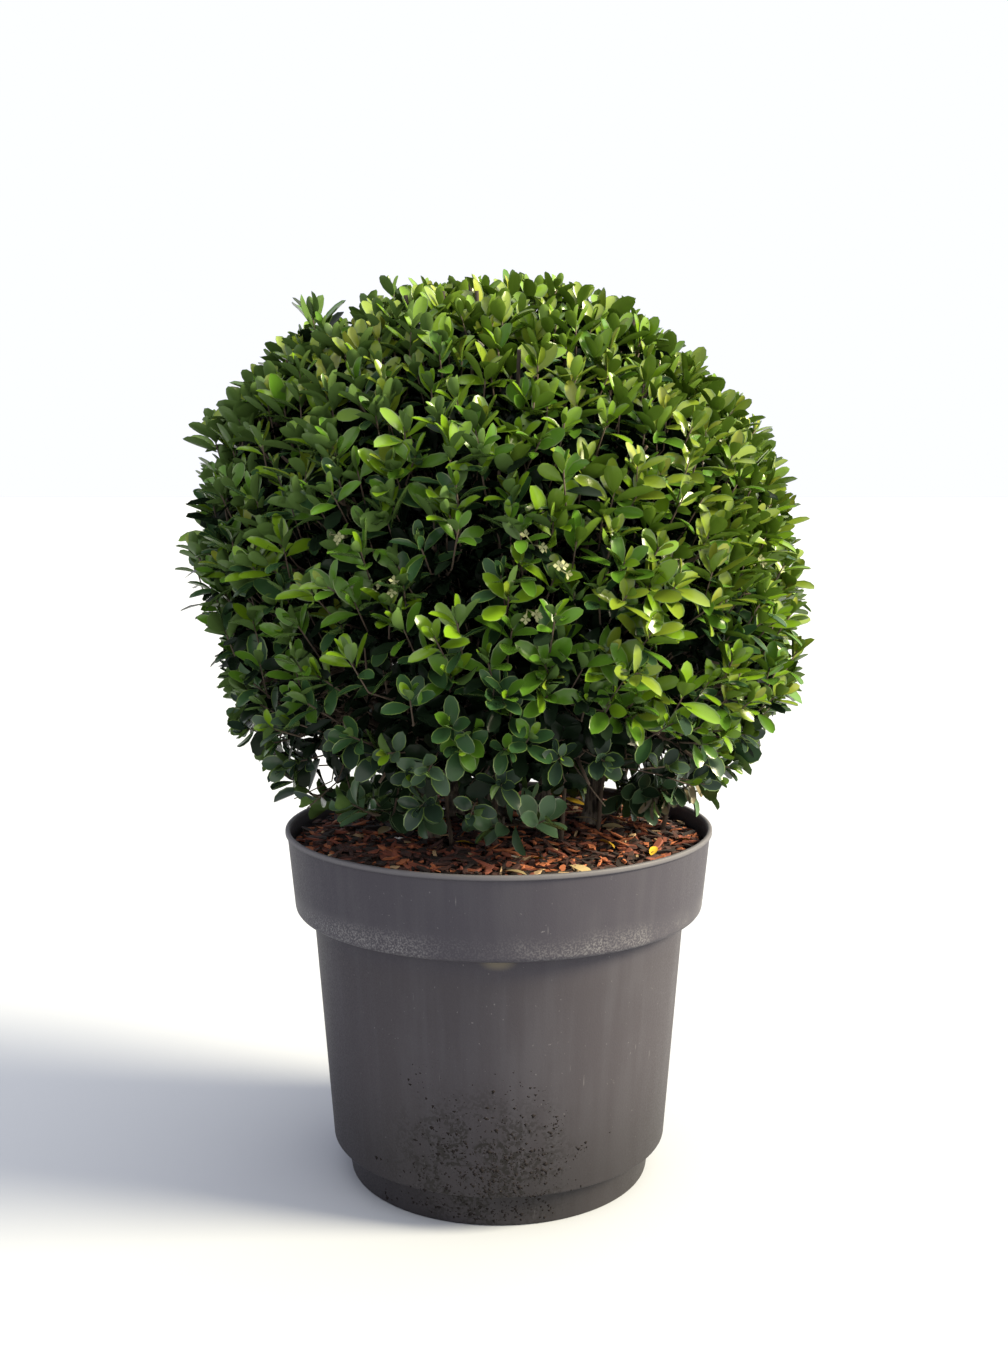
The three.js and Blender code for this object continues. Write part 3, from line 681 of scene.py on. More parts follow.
def new_material(name, tone, roughness, gloss=PLAIN_GLOSS):
    """A material of one Principled shader with a plain base colour."""
    material = bpy.data.materials.new(name)
    material.use_nodes = True
    inputs = material.node_tree.nodes["Principled BSDF"].inputs
    inputs["Base Color"].default_value = (*tone, 1)
    inputs["Roughness"].default_value = roughness
    inputs["Specular IOR Level"].default_value = gloss
    return material


class Paint:
    """Builds the node network of one material."""

    def __init__(self, material):
        self.nodes = material.node_tree.nodes
        self.links = material.node_tree.links
        self.shader = self.nodes["Principled BSDF"].inputs
        self.place = self.add("TexCoord", "Object", {})

    def put(self, socket, value):
        """Links a socket to an output, or sets it to a value."""
        if isinstance(value, bpy.types.NodeSocket):
            self.links.new(value, socket)
        else:
            socket.default_value = (*value, 1) if socket.type == "RGBA" else value

    def add(self, kind, output, inputs, **settings):
        """A new node with its settings and inputs, of which one output is given back."""
        node = self.nodes.new("ShaderNode" + kind)
        for name, value in settings.items():
            setattr(node, name, value)
        for key, value in inputs.items():
            self.put(node.inputs[key], value)
        return node.outputs[output]

    def noise(self, scale, detail, stretch=(1, 1, 1)):
        """Noise between about 0.3 and 0.7, its grain set by scale and stretch."""
        place = self.add("Mapping", "Vector", {"Vector": self.place, "Scale": stretch})
        return self.add("TexNoise", "Fac", {"Vector": place, "Scale": scale, "Detail": detail})

    def ramp(self, value, low, high, start=0.0, end=1.0):
        """A value between low and high spread smoothly from start to end."""
        inputs = {"Value": value, "From Min": low, "From Max": high, "To Min": start, "To Max": end}
        return self.add("MapRange", "Result", inputs, interpolation_type="SMOOTHSTEP")

    def maths(self, operation, first, second):
        """Two values through one operation."""
        return self.add("Math", "Value", {0: first, 1: second}, operation=operation)

    def height(self):
        """The height of the place on the piece."""
        return self.add("SeparateXYZ", "Z", {"Vector": self.place})

    def spot(self, centre, reach):
        """A soft spot round a place, one in its middle and nought beyond its reach on each axis."""
        inputs = {"Vector": self.place, "Location": centre, "Scale": reach}
        there = self.add("Mapping", "Vector", inputs, vector_type="TEXTURE")
        return self.ramp(self.add("VectorMath", "Value", {"Vector": there}, operation="LENGTH"), *SPOT_FADE)

    def mix(self, share, first, second):
        """Two colours mixed by a share."""
        inputs = {MIX_SHARE: share, MIX_FIRST: first, MIX_SECOND: second}
        return self.add("Mix", MIX_RESULT, inputs, data_type="RGBA")

    def bump(self, value, strength, distance):
        """A surface normal that follows a value as a height."""
        return self.add("Bump", "Normal", {"Height": value, "Strength": strength, "Distance": distance})


def pot_material():
    """Dark grey moulded plastic: dusty grain, a chalky haze on the collar's edge, a paler top to the lip,
    soil specks near the foot and darker towards the foot.
    """
    material = new_material("pot_plastic", POT_TONES["slate"], POT_ROUGHNESS, POT_GLOSS)
    paint = Paint(material)
    height = paint.height()
    noise = {name: paint.noise(*values) for name, values in POT_NOISES.items()}

    def share(name, value):
        return paint.ramp(value, *POT_RANGES[name])

    def both(first, second):
        return paint.maths("MULTIPLY", first, second)

    edge = both(share("edge_top", height), share("edge_foot", height))
    haze = both(share("haze", noise["grain"]), share("haze_clouds", noise["clouds"]))
    specks = both(share("specks", noise["specks"]), share("clumps", noise["clumps"]))
    layers = (
        ("dust", share("dust", paint.maths("ADD", noise["streaks"], noise["clouds"]))),
        ("chalk", both(edge, haze)),
        # The upper half of the lip paler
        ("chalk", share("lip", height)),
        ("chalk", share("pale_specks", noise["pale_specks"])),
        ("chalk", share("scratches", noise["scratches"])),
        ("ochre", both(paint.spot(*SMUDGE), SMUDGE_SHARE)),
        ("soil", both(paint.spot(*SPLASH), specks)),
        # Darker towards the foot, in clouds, mixed towards the soil's tone
        ("soil", both(share("foot", height), share("foot_clouds", noise["clouds"]))),
    )
    colour = paint.mix(share("collar", height), POT_TONES["warm"], POT_TONES["slate"])
    for tone, amount in layers:
        colour = paint.mix(amount, colour, POT_TONES[tone])
    paint.put(paint.shader["Base Color"], colour)
    paint.put(paint.shader["Roughness"], share("roughness", noise["grain"]))
    paint.put(paint.shader["Normal"], paint.bump(noise["grain"], *POT_BUMP))
    return material


def grainy_material(name, flecks=None):
    """A material whose tone and relief follow one noise, with flecks of a third tone where asked."""
    roughness, noise, shown, dark, light, bump = GRAINY[name]
    material = new_material(name, dark, roughness)
    paint = Paint(material)
    grain = paint.noise(*noise)
    colour = paint.mix(paint.ramp(grain, *shown), dark, light)
    if flecks:
        fleck_noise, fleck_shown, fleck_tone = flecks
        colour = paint.mix(paint.ramp(paint.noise(*fleck_noise), *fleck_shown), colour, fleck_tone)
    paint.put(paint.shader["Base Color"], colour)
    paint.put(paint.shader["Normal"], paint.bump(grain, *bump))
    return material


def rounded(corners):
    """A profile of (radius, height, round) corners with its corners rounded off."""
    places = np.array([corner[:2] for corner in corners])
    points = []
    for i, (*_, size) in enumerate(corners):
        if size == 0:
            points.append(places[i])
            continue
        before = places[i] + unit(places[i - 1] - places[i]) * size
        after = places[i] + unit(places[i + 1] - places[i]) * size
        points.extend(arc(before, places[i], after, PROFILE_ARC_STEPS))
    return np.array(points)


def collar_inside(z):
    """Inner radius of the container's collar at a height."""
    share = (z - COLLAR_BOTTOM_Z) / (POT_HEIGHT - LIP_HEIGHT - COLLAR_BOTTOM_Z)
    return lerp(COLLAR_BOTTOM_RADIUS, COLLAR_TOP_RADIUS, share) - WALL


def pot():
    """The container: foot ring, tapering body, rounded collar and a thin lip, with drain holes."""
    inner_z = COLLAR_BOTTOM_Z + WALL
    lip_foot = POT_HEIGHT - LIP_HEIGHT
    profile = rounded([
        (0, 0, 0),
        (FOOT_RADIUS - FOOT_EDGE / 2, 0, SMALL_ROUND),
        (FOOT_RADIUS, FOOT_EDGE / 2, SMALL_ROUND),
        (FOOT_TOP_RADIUS, BODY_BOTTOM_Z - WALL / 2, SMALL_ROUND),
        (BODY_BOTTOM_RADIUS, BODY_BOTTOM_Z, LEDGE_ROUND),
        (BODY_TOP_RADIUS, COLLAR_BOTTOM_Z, LEDGE_ROUND),
        (COLLAR_BOTTOM_RADIUS, COLLAR_BOTTOM_Z, COLLAR_EDGE_ROUND),
        (COLLAR_TOP_RADIUS, lip_foot, SMALL_ROUND),
        (LIP_RADIUS, lip_foot + SMALL_ROUND / 2, SMALL_ROUND),
        (LIP_RADIUS, POT_HEIGHT, 2 * SMALL_ROUND),
        (LIP_RADIUS - LIP_WIDTH, POT_HEIGHT, 2 * SMALL_ROUND),
        (COLLAR_TOP_RADIUS - WALL, lip_foot, SMALL_ROUND),
        (COLLAR_BOTTOM_RADIUS - WALL, inner_z, COLLAR_EDGE_ROUND),
        (BODY_TOP_RADIUS - WALL, inner_z, LEDGE_ROUND),
        (BODY_BOTTOM_RADIUS - WALL, BODY_BOTTOM_Z + WALL, LEDGE_ROUND),
        (FOOT_TOP_RADIUS - WALL, BODY_BOTTOM_Z + WALL, SMALL_ROUND),
        (FOOT_RADIUS - WALL, FLOOR_THICKNESS, SMALL_ROUND),
        (0, FLOOR_THICKNESS, 0),
    ])
    rings = polar(profile[1:-1, :1], round_turns(POT_SEGMENTS), profile[1:-1, 1:])
    shell = closed(rings, profile[0, 1], profile[-1, 1])
    material = pot_material()
    piece = make_piece("pot_shell", shell, material, "pot", ["pot"])
    drill_drain_holes(piece, material)
    piece.data.set_sharp_from_angle(angle=math.radians(SHARP_ANGLE))


def drill_drain_holes(piece, material):
    """Cuts the drain holes through the container's floor."""
    turns = round_turns(DRAIN_HOLES) + np.pi / DRAIN_HOLES
    middles = polar(DRAIN_CIRCLE_RADIUS, turns, 0)
    paths = np.stack([middles - UP * DRILL_REACH, middles + UP * DRILL_REACH], axis=1)
    mesh = tubes(paths, DRAIN_HOLE_RADIUS, DRAIN_HOLE_SIDES)
    drills = new_object("drills", mesh, material, smooth=False)
    cut = piece.modifiers.new("drain_holes", "BOOLEAN")
    cut.operation = "DIFFERENCE"
    cut.object = drills
    bpy.context.view_layer.objects.active = piece
    bpy.ops.object.modifier_apply(modifier=cut.name)
    bpy.data.meshes.remove(drills.data)


def soil_crumbs():
    """Crumbs of soil that cling to the front of the container, most of them near its foot."""
    random = np.random.default_rng(CRUMB_SEED)
    clump = random.integers(0, CRUMB_CLUMPS, CRUMBS)
    spread = lerp(*CRUMB_CLUMP_SPREAD, random.uniform(0, 1, CRUMB_CLUMPS))[clump]
    side = random.normal(*CRUMB_SIDE, CRUMB_CLUMPS)[clump] + random.normal(0, spread)
    rise = random.normal(*CRUMB_HEIGHT, CRUMB_CLUMPS)[clump] + random.normal(0, spread)
    z = CRUMB_LOWEST_Z + np.abs(rise)
    body_share = (z - BODY_BOTTOM_Z) / (COLLAR_BOTTOM_Z - BODY_BOTTOM_Z)
    body_radius = lerp(BODY_BOTTOM_RADIUS, BODY_TOP_RADIUS, body_share)
    foot_radius = lerp(FOOT_RADIUS, FOOT_TOP_RADIUS, z / BODY_BOTTOM_Z)
    radius = np.where(z > BODY_BOTTOM_Z, body_radius, foot_radius)
    turn = np.clip(side / BODY_BOTTOM_RADIUS, -CRUMB_WIDEST_TURN, CRUMB_WIDEST_TURN) - np.pi / 2
    out = polar(1, turn, 0)
    across = np.cross(UP, out)
    size = lerp(*CRUMB_SIZE, random.uniform(0, 1, CRUMBS) ** CRUMB_FINENESS)
    ways = (across, UP, -across, -UP, out * CRUMB_FLATNESS, -out * CRUMB_FLATNESS)
    reaches = [way * (size * random.uniform(*CRUMB_RAGGED, CRUMBS))[:, None] for way in ways]
    corners = polar(radius, turn, z)[:, None] + np.stack(reaches, axis=1)
    mesh = repeated(corners, closed_triangles(1, len(ways) - 2)[:, ::-1])
    material = new_material("soil_crumb", CRUMB_TONE, CRUMB_ROUGHNESS, CRUMB_GLOSS)
    make_piece("soil_crumbs", mesh, material, "soil", [])


def mulch_height(radius):
    """Height of the mulch at distances from the axis: level round the stems and lower at the wall."""
    outside = (radius - MULCH_LEVEL_RADIUS) / (collar_inside(MULCH_EDGE_Z) - MULCH_LEVEL_RADIUS)
    return lerp(MULCH_TOP_Z, MULCH_EDGE_Z, np.clip(outside, 0, 1))


def mulch():
    """Bark mulch: a rough bed and the shreds that lie on it, dealt into tones."""
    random = np.random.default_rng(MULCH_SEED)
    outer = collar_inside(MULCH_EDGE_Z) - 2 * GAP
    radii = np.linspace(0, outer, BED_RINGS + 1)[1:, None]
    turns = round_turns(BED_SEGMENTS)
    relief = random.normal(0, BED_RELIEF, (BED_RINGS, BED_SEGMENTS))
    top = polar(radii, turns, mulch_height(radii) - BED_SINK + relief)
    skirt = polar(collar_inside(SOIL_TOP_Z) - 2 * GAP, turns, SOIL_TOP_Z + GAP)
    rings = np.concatenate([top, skirt[None]])
    # These rings follow each other downwards, so the triangles are turned round
    points, triangles = closed(rings, MULCH_TOP_Z - BED_SINK, SOIL_TOP_Z + GAP)
    make_piece("mulch_bed", (points, triangles[:, ::-1]), grainy_material("mulch_bed"), *MULCH_KIND)
    tones = random.choice(len(SHRED_TONES), SHREDS, p=SHRED_SHARES)
    shreds = shred_points(random, outer)
    faces = closed_triangles(2, len(SQUARE))
    for number, (name, tone) in enumerate(SHRED_TONES.items()):
        material = new_material("bark_shred_" + name, tone, SHRED_ROUGHNESS)
        mesh = repeated(shreds[tones == number], faces)
        make_piece("mulch_" + name, mesh, material, *MULCH_KIND, smooth=False)


def shred_points(random, outer):
    """Points of each shred of bark, a ragged spindle at a slant on the bed: two rings and two ends."""
    radius = (outer - SHRED_CLEAR_OF_WALL) * np.sqrt(random.uniform(0, 1, SHREDS))
    angle = random.uniform(0, 2 * np.pi, SHREDS)
    rise = random.uniform(-BED_SINK, SHRED_RISE, SHREDS)
    centre = polar(radius, angle, mulch_height(radius) + rise)
    along = heading(random.uniform(0, 360, SHREDS), random.normal(0, SHRED_TILT, SHREDS))
    across, upper = square_to(along)
    length = random.uniform(*SHRED_LENGTH, SHREDS) * random.uniform(*SHRED_SHORTENING, SHREDS)
    length = np.minimum(length, SHRED_ROOM_SHARE * (outer - radius))[:, None]
    width = np.minimum(random.uniform(*SHRED_WIDTH, SHREDS)[:, None], SHRED_WIDEST_SHARE * length)
    thick = random.uniform(*SHRED_THICKNESS, SHREDS)[:, None]
    points = []
    for place in (-SHRED_RING_AT, SHRED_RING_AT):
        for side, lift in SQUARE:
            ragged = 1 + random.normal(0, SHRED_RAGGED, (SHREDS, 3))
            points.append(
                centre
                + along * length * place * ragged[:, :1]
                + across * width / 2 * side * ragged[:, 1:2]
                + upper * thick / 2 * lift * ragged[:, 2:]
            )
    for end in (-1, 1):
        bent = upper * thick * random.normal(0, SHRED_BEND, (SHREDS, 1))
        points.append(centre + along * length / 2 * end + bent)
    return np.stack(points, axis=1)


def fallen_leaves():
    """Yellow and tan leaves that lie flat on the mulch."""
    random = np.random.default_rng(FALLEN_SEED)
    radius = random.uniform(*FALLEN_RADII, FALLEN_ELSEWHERE)
    more = polar(radius, np.arange(FALLEN_ELSEWHERE) * GOLDEN_ANGLE, 0)[:, :2]
    places = np.concatenate([np.array(FALLEN_SPOTS) * MM, more])
    count = len(places)
    height = mulch_height(np.hypot(*places.T)) + FALLEN_RISE
    along = heading(random.uniform(0, 360, count), random.normal(0, FALLEN_TILT, count))
    length = FALLEN_LENGTH * random.uniform(*FALLEN_SIZES, count)
    root = np.concatenate([places, height[:, None]], axis=1) - along * length[:, None] / 2
    light = UP + random.normal(0, FALLEN_ROLL, (count, 3))
    leaves = new_leaves(random, root, along, light, length, length * LEAF_WIDTH_SHARE)
    for number, (name, tone) in enumerate(FALLEN_TONES.items()):
        some = picked(leaves, np.arange(count) % len(FALLEN_TONES) == number)
        material = new_material("fallen_leaf_" + name, tone, LEAF_ROUGHNESS)
        make_piece("fallen_leaves_" + name, leaf_mesh(some), material, *MULCH_KIND)


def stem_line(name, count):
    """Points on the centre line of a stem, from its foot on the mulch to its tip under the crown."""
    foot_x, foot_y, tip_x, tip_y = (value * MM for value in STEMS[name][:4])
    foot = np.array([foot_x, foot_y, MULCH_TOP_Z + GAP])
    tip = np.array([tip_x, tip_y, CORE_FLOOR_Z - GAP])
    low = lerp(foot, tip, STEM_SWEEP)
    low[2] = lerp(foot[2], tip[2], STEM_SWEEP_AT)
    share = np.linspace(0, 1, count)[:, None]
    bend = low - lerp(foot, tip, STEM_SWEEP_AT)
    return lerp(foot, tip, share) + bend * 4 * share * (1 - share)


def stem_radii(name, count):
    """Radii of a stem up its height, with a flare at its foot."""
    share = np.linspace(0, 1, count)
    foot_radius, tip_radius = (value * MM for value in STEMS[name][4:])
    height = share * (CORE_FLOOR_Z - MULCH_TOP_Z - 2 * GAP)
    return lerp(foot_radius, tip_radius, share) * (1 + STEM_FLARE * np.exp(-height / STEM_FLARE_HEIGHT))


def stems(material):
    """Each stem as a limb with ridges and knots of bark."""
    for number, name in enumerate(STEMS):
        random = np.random.default_rng(STEM_SEED + number)
        path = stem_line(name, STEM_RINGS)
        points, triangles = tubes(path[None], stem_radii(name, STEM_RINGS), STEM_SIDES)
        angle = np.tile(round_turns(STEM_SIDES), STEM_RINGS)
        rise = np.repeat(np.linspace(0, 1, STEM_RINGS), STEM_SIDES)
        relief = np.zeros(len(points))
        for waves in BARK_WAVES:
            twist = random.uniform(-BARK_TWIST, BARK_TWIST)
            phase = random.uniform(0, 2 * np.pi)
            relief += np.sin(waves * angle + twist * rise + phase) / math.sqrt(waves)
            relief += np.sin(2 * waves * rise * np.pi + angle + phase) / waves
        relief += random.normal(0, BARK_GRAIN, len(points))
        spoke = points - np.repeat(path, STEM_SIDES, axis=0)
        mesh = (points + spoke * BARK_RELIEF * relief[:, None], triangles)
        make_piece(name + "_bark", mesh, material, "bark", [name])


def swellings(directions, shapes):
    """The sum of soft swellings, each given by azimuth, elevation, height and spread."""
    height_there = np.zeros(len(directions))
    for azimuth, elevation, height, spread in shapes:
        angle = np.arccos(np.clip(directions @ heading(azimuth, elevation), -1, 1))
        height_there += height * np.exp(-((angle / math.radians(spread)) ** 2))
    return height_there


def beside(points, azimuth, spread):
    """A share that falls smoothly from one at an azimuth to nought well beyond its spread, in degrees."""
    turn = np.degrees(np.arctan2(points[:, 1], points[:, 0])) - azimuth
    aside = (turn + 180) % 360 - 180
    return np.exp(-((aside / spread) ** 2))


def patches(directions, waves):
    """Waves over the ball, between about -1 and 1."""
    x, y, z = (directions * waves).T
    bend, across, upwards = PATCH_BENDS
    return (np.sin(x + bend * np.sin(y)) + np.sin(across * y + z) + np.sin(upwards * z - x)) / 3


def crown_reach(directions):
    """How far the clipped outline lies from the crown's centre in each direction."""
    return CROWN_RADIUS + swellings(directions, CROWN_BULGES)


def on_crown(directions, outwards):
    """Points in directions from the crown's centre, some way outwards from the clipped outline."""
    return CROWN_CENTRE + directions * (crown_reach(directions) + outwards)[:, None]


def above_low_band(directions):
    """A share that rises from nought low on the ball to one above its low band."""
    return smooth_share(directions[:, 2], *LOW_BAND_SINES)


def crown_foot(points):
    """The height below which the crown has no leaves: raised on its open sides, lower where it hangs."""
    return CROWN_FLOOR_Z + sum(rise * beside(points, *side) for *side, _, _, rise in OPEN_SIDES)


def even_directions(count):
    """Directions spread evenly over the ball from its top down to its underside."""
    i = np.arange(count)
    sine = 1 - (1 - CROWN_LOWEST_SINE) * (i + 0.5) / count
    return polar(np.sqrt(1 - sine * sine), i * GOLDEN_ANGLE, sine)


def spots(seen, count, elevations):
    """Directions of named spots, and of more spots spread round the ball between two elevations."""
    i = np.arange(count)
    more = heading(np.degrees(i * GOLDEN_ANGLE), lerp(*elevations, (i + 0.5) / count))
    return np.concatenate([np.array([heading(*spot) for spot in seen]), more])


def picked(leaves, chosen):
    """Some of the leaves."""
    return {key: values[chosen] for key, values in leaves.items()}


def gathered(groups):
    """Several groups of leaves as one."""
    return {key: np.concatenate([group[key] for group in groups]) for key in groups[0]}


def new_leaves(random, root, along, light, length, width):
    """Leaves from their roots along their headings, turned to the light, each with its own fold and curl."""
    return {
        "root": root,
        "along": along,
        "upper": without(light, along),
        "length": length,
        "width": width,
        "fold": np.radians(random.uniform(*LEAF_FOLD, len(root))),
        "curl": random.uniform(*LEAF_CURL, len(root)),
    }


def new_shoots(base, end, opening, size, width):
    """Shoots from their bases to their ends, with the opening, size and width of their leaves."""
    values = {"opening": opening, "size": size, "width": width}
    spread = {key: np.broadcast_to(value, len(base)) for key, value in values.items()}
    return {"base": base, "end": end, **spread}


def spray_leaves(shoots, random, count, spray):
    """Leaves spiralling round each shoot, opening less towards its end."""
    places, opens, lengths = spray
    shoot = np.repeat(np.arange(len(shoots["base"])), count)
    number = np.tile(np.arange(count), len(shoots["base"]))
    share = number / (count - 1)
    base = shoots["base"][shoot]
    stretch = shoots["end"][shoot] - base
    axis = unit(stretch)
    phase = random.uniform(0, 2 * np.pi, len(shoots["base"]))[shoot]
    open_angle = lerp(*opens, share) * shoots["opening"][shoot]
    open_angle += random.normal(0, LEAF_OPEN_SPREAD, len(shoot))
    along = leaning(axis, open_angle, phase + number * GOLDEN_ANGLE)
    light = axis + UP * LEAF_FACES_UP + random.normal(0, LEAF_TWIST, (len(shoot), 3))
    length = lerp(*lengths, share**2) * shoots["size"][shoot] * random.uniform(*LEAF_SIZES, len(shoot))
    width = length * shoots["width"][shoot] * random.uniform(*LEAF_SIZES, len(shoot))
    root = base + stretch * lerp(*places, share)[:, None]
    leaves = new_leaves(random, root, along, light, length, width)
    return {**leaves, "shoot": shoot, "number": number}


def leaf_tips(leaves):
    """Where each leaf ends."""
    return leaves["root"] + leaves["along"] * leaves["length"][:, None]


def leaf_faces(stations):
    """Triangles of a leaf: fans at its foot and tip, and strips between its stations."""
    tip = 3 * stations + 1
    faces = [(0, 1, 2), (0, 2, 3)]
    for left in range(1, tip - 3, 3):
        for here in (left, left + 1):
            faces += [(here, here + 3, here + 4), (here, here + 4, here + 1)]
    return np.array([*faces, (tip - 3, tip, tip - 2), (tip - 2, tip, tip - 1)])


def leaf_points(leaves, outline, sink=0.0):
    """Points of leaf blades of an outline, folded along a midrib that is sunk by a depth, and curled."""
    upper = leaves["upper"]
    across = np.cross(upper, leaves["along"])
    length = leaves["length"][:, None]
    curl = leaves["curl"][:, None]
    fold = leaves["fold"][:, None]

    def spine(share):
        return leaves["root"] + length * (leaves["along"] * share - upper * curl * share**2 / 2)

    columns = [spine(0)]
    for share, half in outline:
        half_width = leaves["width"][:, None] * half / 2
        sideways = across * half_width * np.cos(fold)
        edge = spine(share) + upper * half_width * np.sin(fold)
        columns += [edge - sideways, spine(share) - upper * sink, edge + sideways]
    columns.append(spine(1))
    return np.stack(columns, axis=1)


def leaf_mesh(leaves, outline=LEAF_OUTLINE, sink=0.0):
    """Leaf blades of an outline as one mesh."""
    return repeated(leaf_points(leaves, outline, sink), leaf_faces(len(outline)))


def leaf_margins(leaves):
    """Thin strips along both edges of leaf blades, just above them."""
    stations = len(LEAF_OUTLINE)
    blade = leaf_points(leaves, LEAF_OUTLINE) + leaves["upper"][:, None] * MARGIN_RISE
    columns = [blade[:, :1], blade[:, -1:]]
    faces = []
    for side, order in ((1, 1), (3, -1)):
        outer = sum(column.shape[1] for column in columns)
        inner = outer + stations
        edge = blade[:, side:-1:3]
        columns += [edge, lerp(edge, blade[:, 2:-1:3], MARGIN_SHARE)]
        strip = [(0, outer, inner), (outer + stations - 1, 1, inner + stations - 1)]
        for k in range(stations - 1):
            strip += [(outer + k, outer + k + 1, inner + k + 1), (outer + k, inner + k + 1, inner + k)]
        faces += [face[::order] for face in strip]
    return repeated(np.concatenate(columns, axis=1), faces)


def leaf_pieces(name, leaves, tone, gloss, kind, outline=LEAF_OUTLINE, sink=0.0):
    """Leaves of one tone as joined meshes that stay under the size limit of a piece; sunk ones face down."""
    material = new_material("leaf_" + name, tone, LEAF_ROUGHNESS, gloss)
    for number, start in enumerate(range(0, len(leaves["root"]), LEAVES_PER_PIECE), 1):
        some = picked(leaves, slice(start, start + LEAVES_PER_PIECE))
        points, triangles = leaf_mesh(some, outline, sink)
        mesh = (points, triangles[:, ::-1] if sink else triangles)
        make_piece(f"foliage_{name}_{number}", mesh, material, *kind)


def toned_pieces(leaves, tones, kind, outlines):
    """Leaves in pieces by the number of their tone, some tones with an outline of their own."""
    for number, (name, (tone, gloss)) in enumerate(tones.items()):
        some = picked(leaves, leaves["tone"] == number)
        leaf_pieces(name, some, tone, gloss, kind, outlines.get(number, LEAF_OUTLINE))


def underside_pieces(name, leaves, tone, kind):
    """The undersides of leaves, just below their blades."""
    leaf_pieces(name, leaves, tone, UNDERSIDE_GLOSS, kind, sink=LEAF_MIDRIB)


def margin_piece(name, leaves, tone, kind):
    """The pale edges of leaves, partly painted highlight, as one piece."""
    material = new_material("leaf_" + name, tone, LEAF_ROUGHNESS)
    make_piece("foliage_" + name, leaf_margins(leaves), material, *kind)


def leaders():
    """The stems grown on into the crown: points of each leader, from its stem's tip."""
    paths = []
    for name in STEMS:
        tip = stem_line(name, STEM_RINGS)[-1]
        top = tip * LEADER_SPREAD
        top[2] = MAIN_LEADER_TOP_Z if name == "stem_main" else LEADER_TOP_Z
        paths.append(through(tip, (tip + top) / 2 * LEADER_PINCH, top, LEADER_RINGS))
    return np.array(paths)


def boughs(paths, directions, axes):
    """Limbs from the leaders to the foot of each main spray on the core of the crown."""
    feet = CROWN_CENTRE + directions * (CORE_SHARE * crown_reach(directions))[:, None]
    feet[:, 2] = np.maximum(feet[:, 2], CORE_FLOOR_Z + TWIG_SINK)
    tops = paths[:, -1]
    leader = np.argmin(np.linalg.norm(feet[:, None] - tops[None], axis=2), axis=1)
    rise = (feet[:, 2] - CORE_FLOOR_Z) / (tops[leader][:, 2] - CORE_FLOOR_Z)
    fork = np.clip(rise * BOUGH_FORK_DROP, 0, 1) * (LEADER_RINGS - 1)
    start = paths[leader, np.round(fork).astype(int)]
    span = np.linalg.norm(feet - start, axis=1)[:, None] * BOUGH_BEND
    upwards = unit(feet - start) + UP * BOUGH_LIFT
    return bezier(start, start + upwards * span, feet - axes * span, feet, BOUGH_RINGS)


def crown_shoots(random, count, outermost):
    """A layer of fine shoots that turn upwards, fewer low on the ball; stray shoots are in the outermost."""
    directions = unit(even_directions(count) + random.normal(0, SHOOT_JITTER, (count, 3)))
    full = above_low_band(directions)
    thinning = sum(
        (outer if outermost else inner) * beside(directions, *side) for *side, outer, inner, _ in OPEN_SIDES
    )
    share = lerp(LOW_BAND_SHARE * (1 - thinning), 1, full)
    if outermost:
        share *= lerp(LOWER_HALF_SHARE, 1, smooth_share(directions[:, 2], *LOWER_HALF_SINES))
    share *= 1 - swellings(directions, GAPS)
    directions = directions[random.uniform(0, 1, count) < share]
    extra = np.zeros(len(directions))
    if outermost:
        stray = np.array([heading(azimuth, elevation) for azimuth, elevation, _ in STRAY_SHOOTS])
        directions = np.concatenate([directions, stray])
        extra = np.concatenate([extra, [length for _, _, length in STRAY_SHOOTS]])
    above = above_low_band(directions)
    upright = sum(beside(directions, *side) for side in UPRIGHT_SIDES)
    upward = lerp(LOW_BAND_UPWARD_SHARE, lerp(SHOOT_UPWARD_SHARE, UPRIGHT_SHARE, upright), above)
    axes = unit(lerp(directions, UP, upward[:, None]))
    axes = unit(axes + random.normal(0, SHOOT_SCATTER, axes.shape))
    end = on_crown(directions, extra)
    size = lerp(LOW_BAND_SIZE, 1, above) * random.uniform(*SHOOT_SIZES, len(above))
    shoots = new_shoots(
        end - axes * SHOOT_LENGTH,
        end,
        np.where(extra > 0, STRAY_OPENING, 1.0),
        np.where(extra > 0, STRAY_SIZE, size),
        lerp(LOW_LEAF_WIDTH_SHARE, LEAF_WIDTH_SHARE, above),
    )
    return {**shoots, "direction": directions, "extra": extra}


def draw_back(shoots, leaves, depth):
    """Draws each shoot back until its leaves lie a depth within the clipped outline."""
    out = leaf_tips(leaves) - CROWN_CENTRE
    distance = np.linalg.norm(out, axis=1)
    excess = distance - crown_reach(out / distance[:, None]) - shoots["extra"][leaves["shoot"]]
    most = np.full(len(shoots["base"]), -np.inf)
    np.maximum.at(most, leaves["shoot"], excess)
    shift = -shoots["direction"] * (most + depth * (shoots["extra"] == 0))[:, None]
    shoots["base"] += shift
    shoots["end"] += shift
    leaves["root"] += shift[leaves["shoot"]]


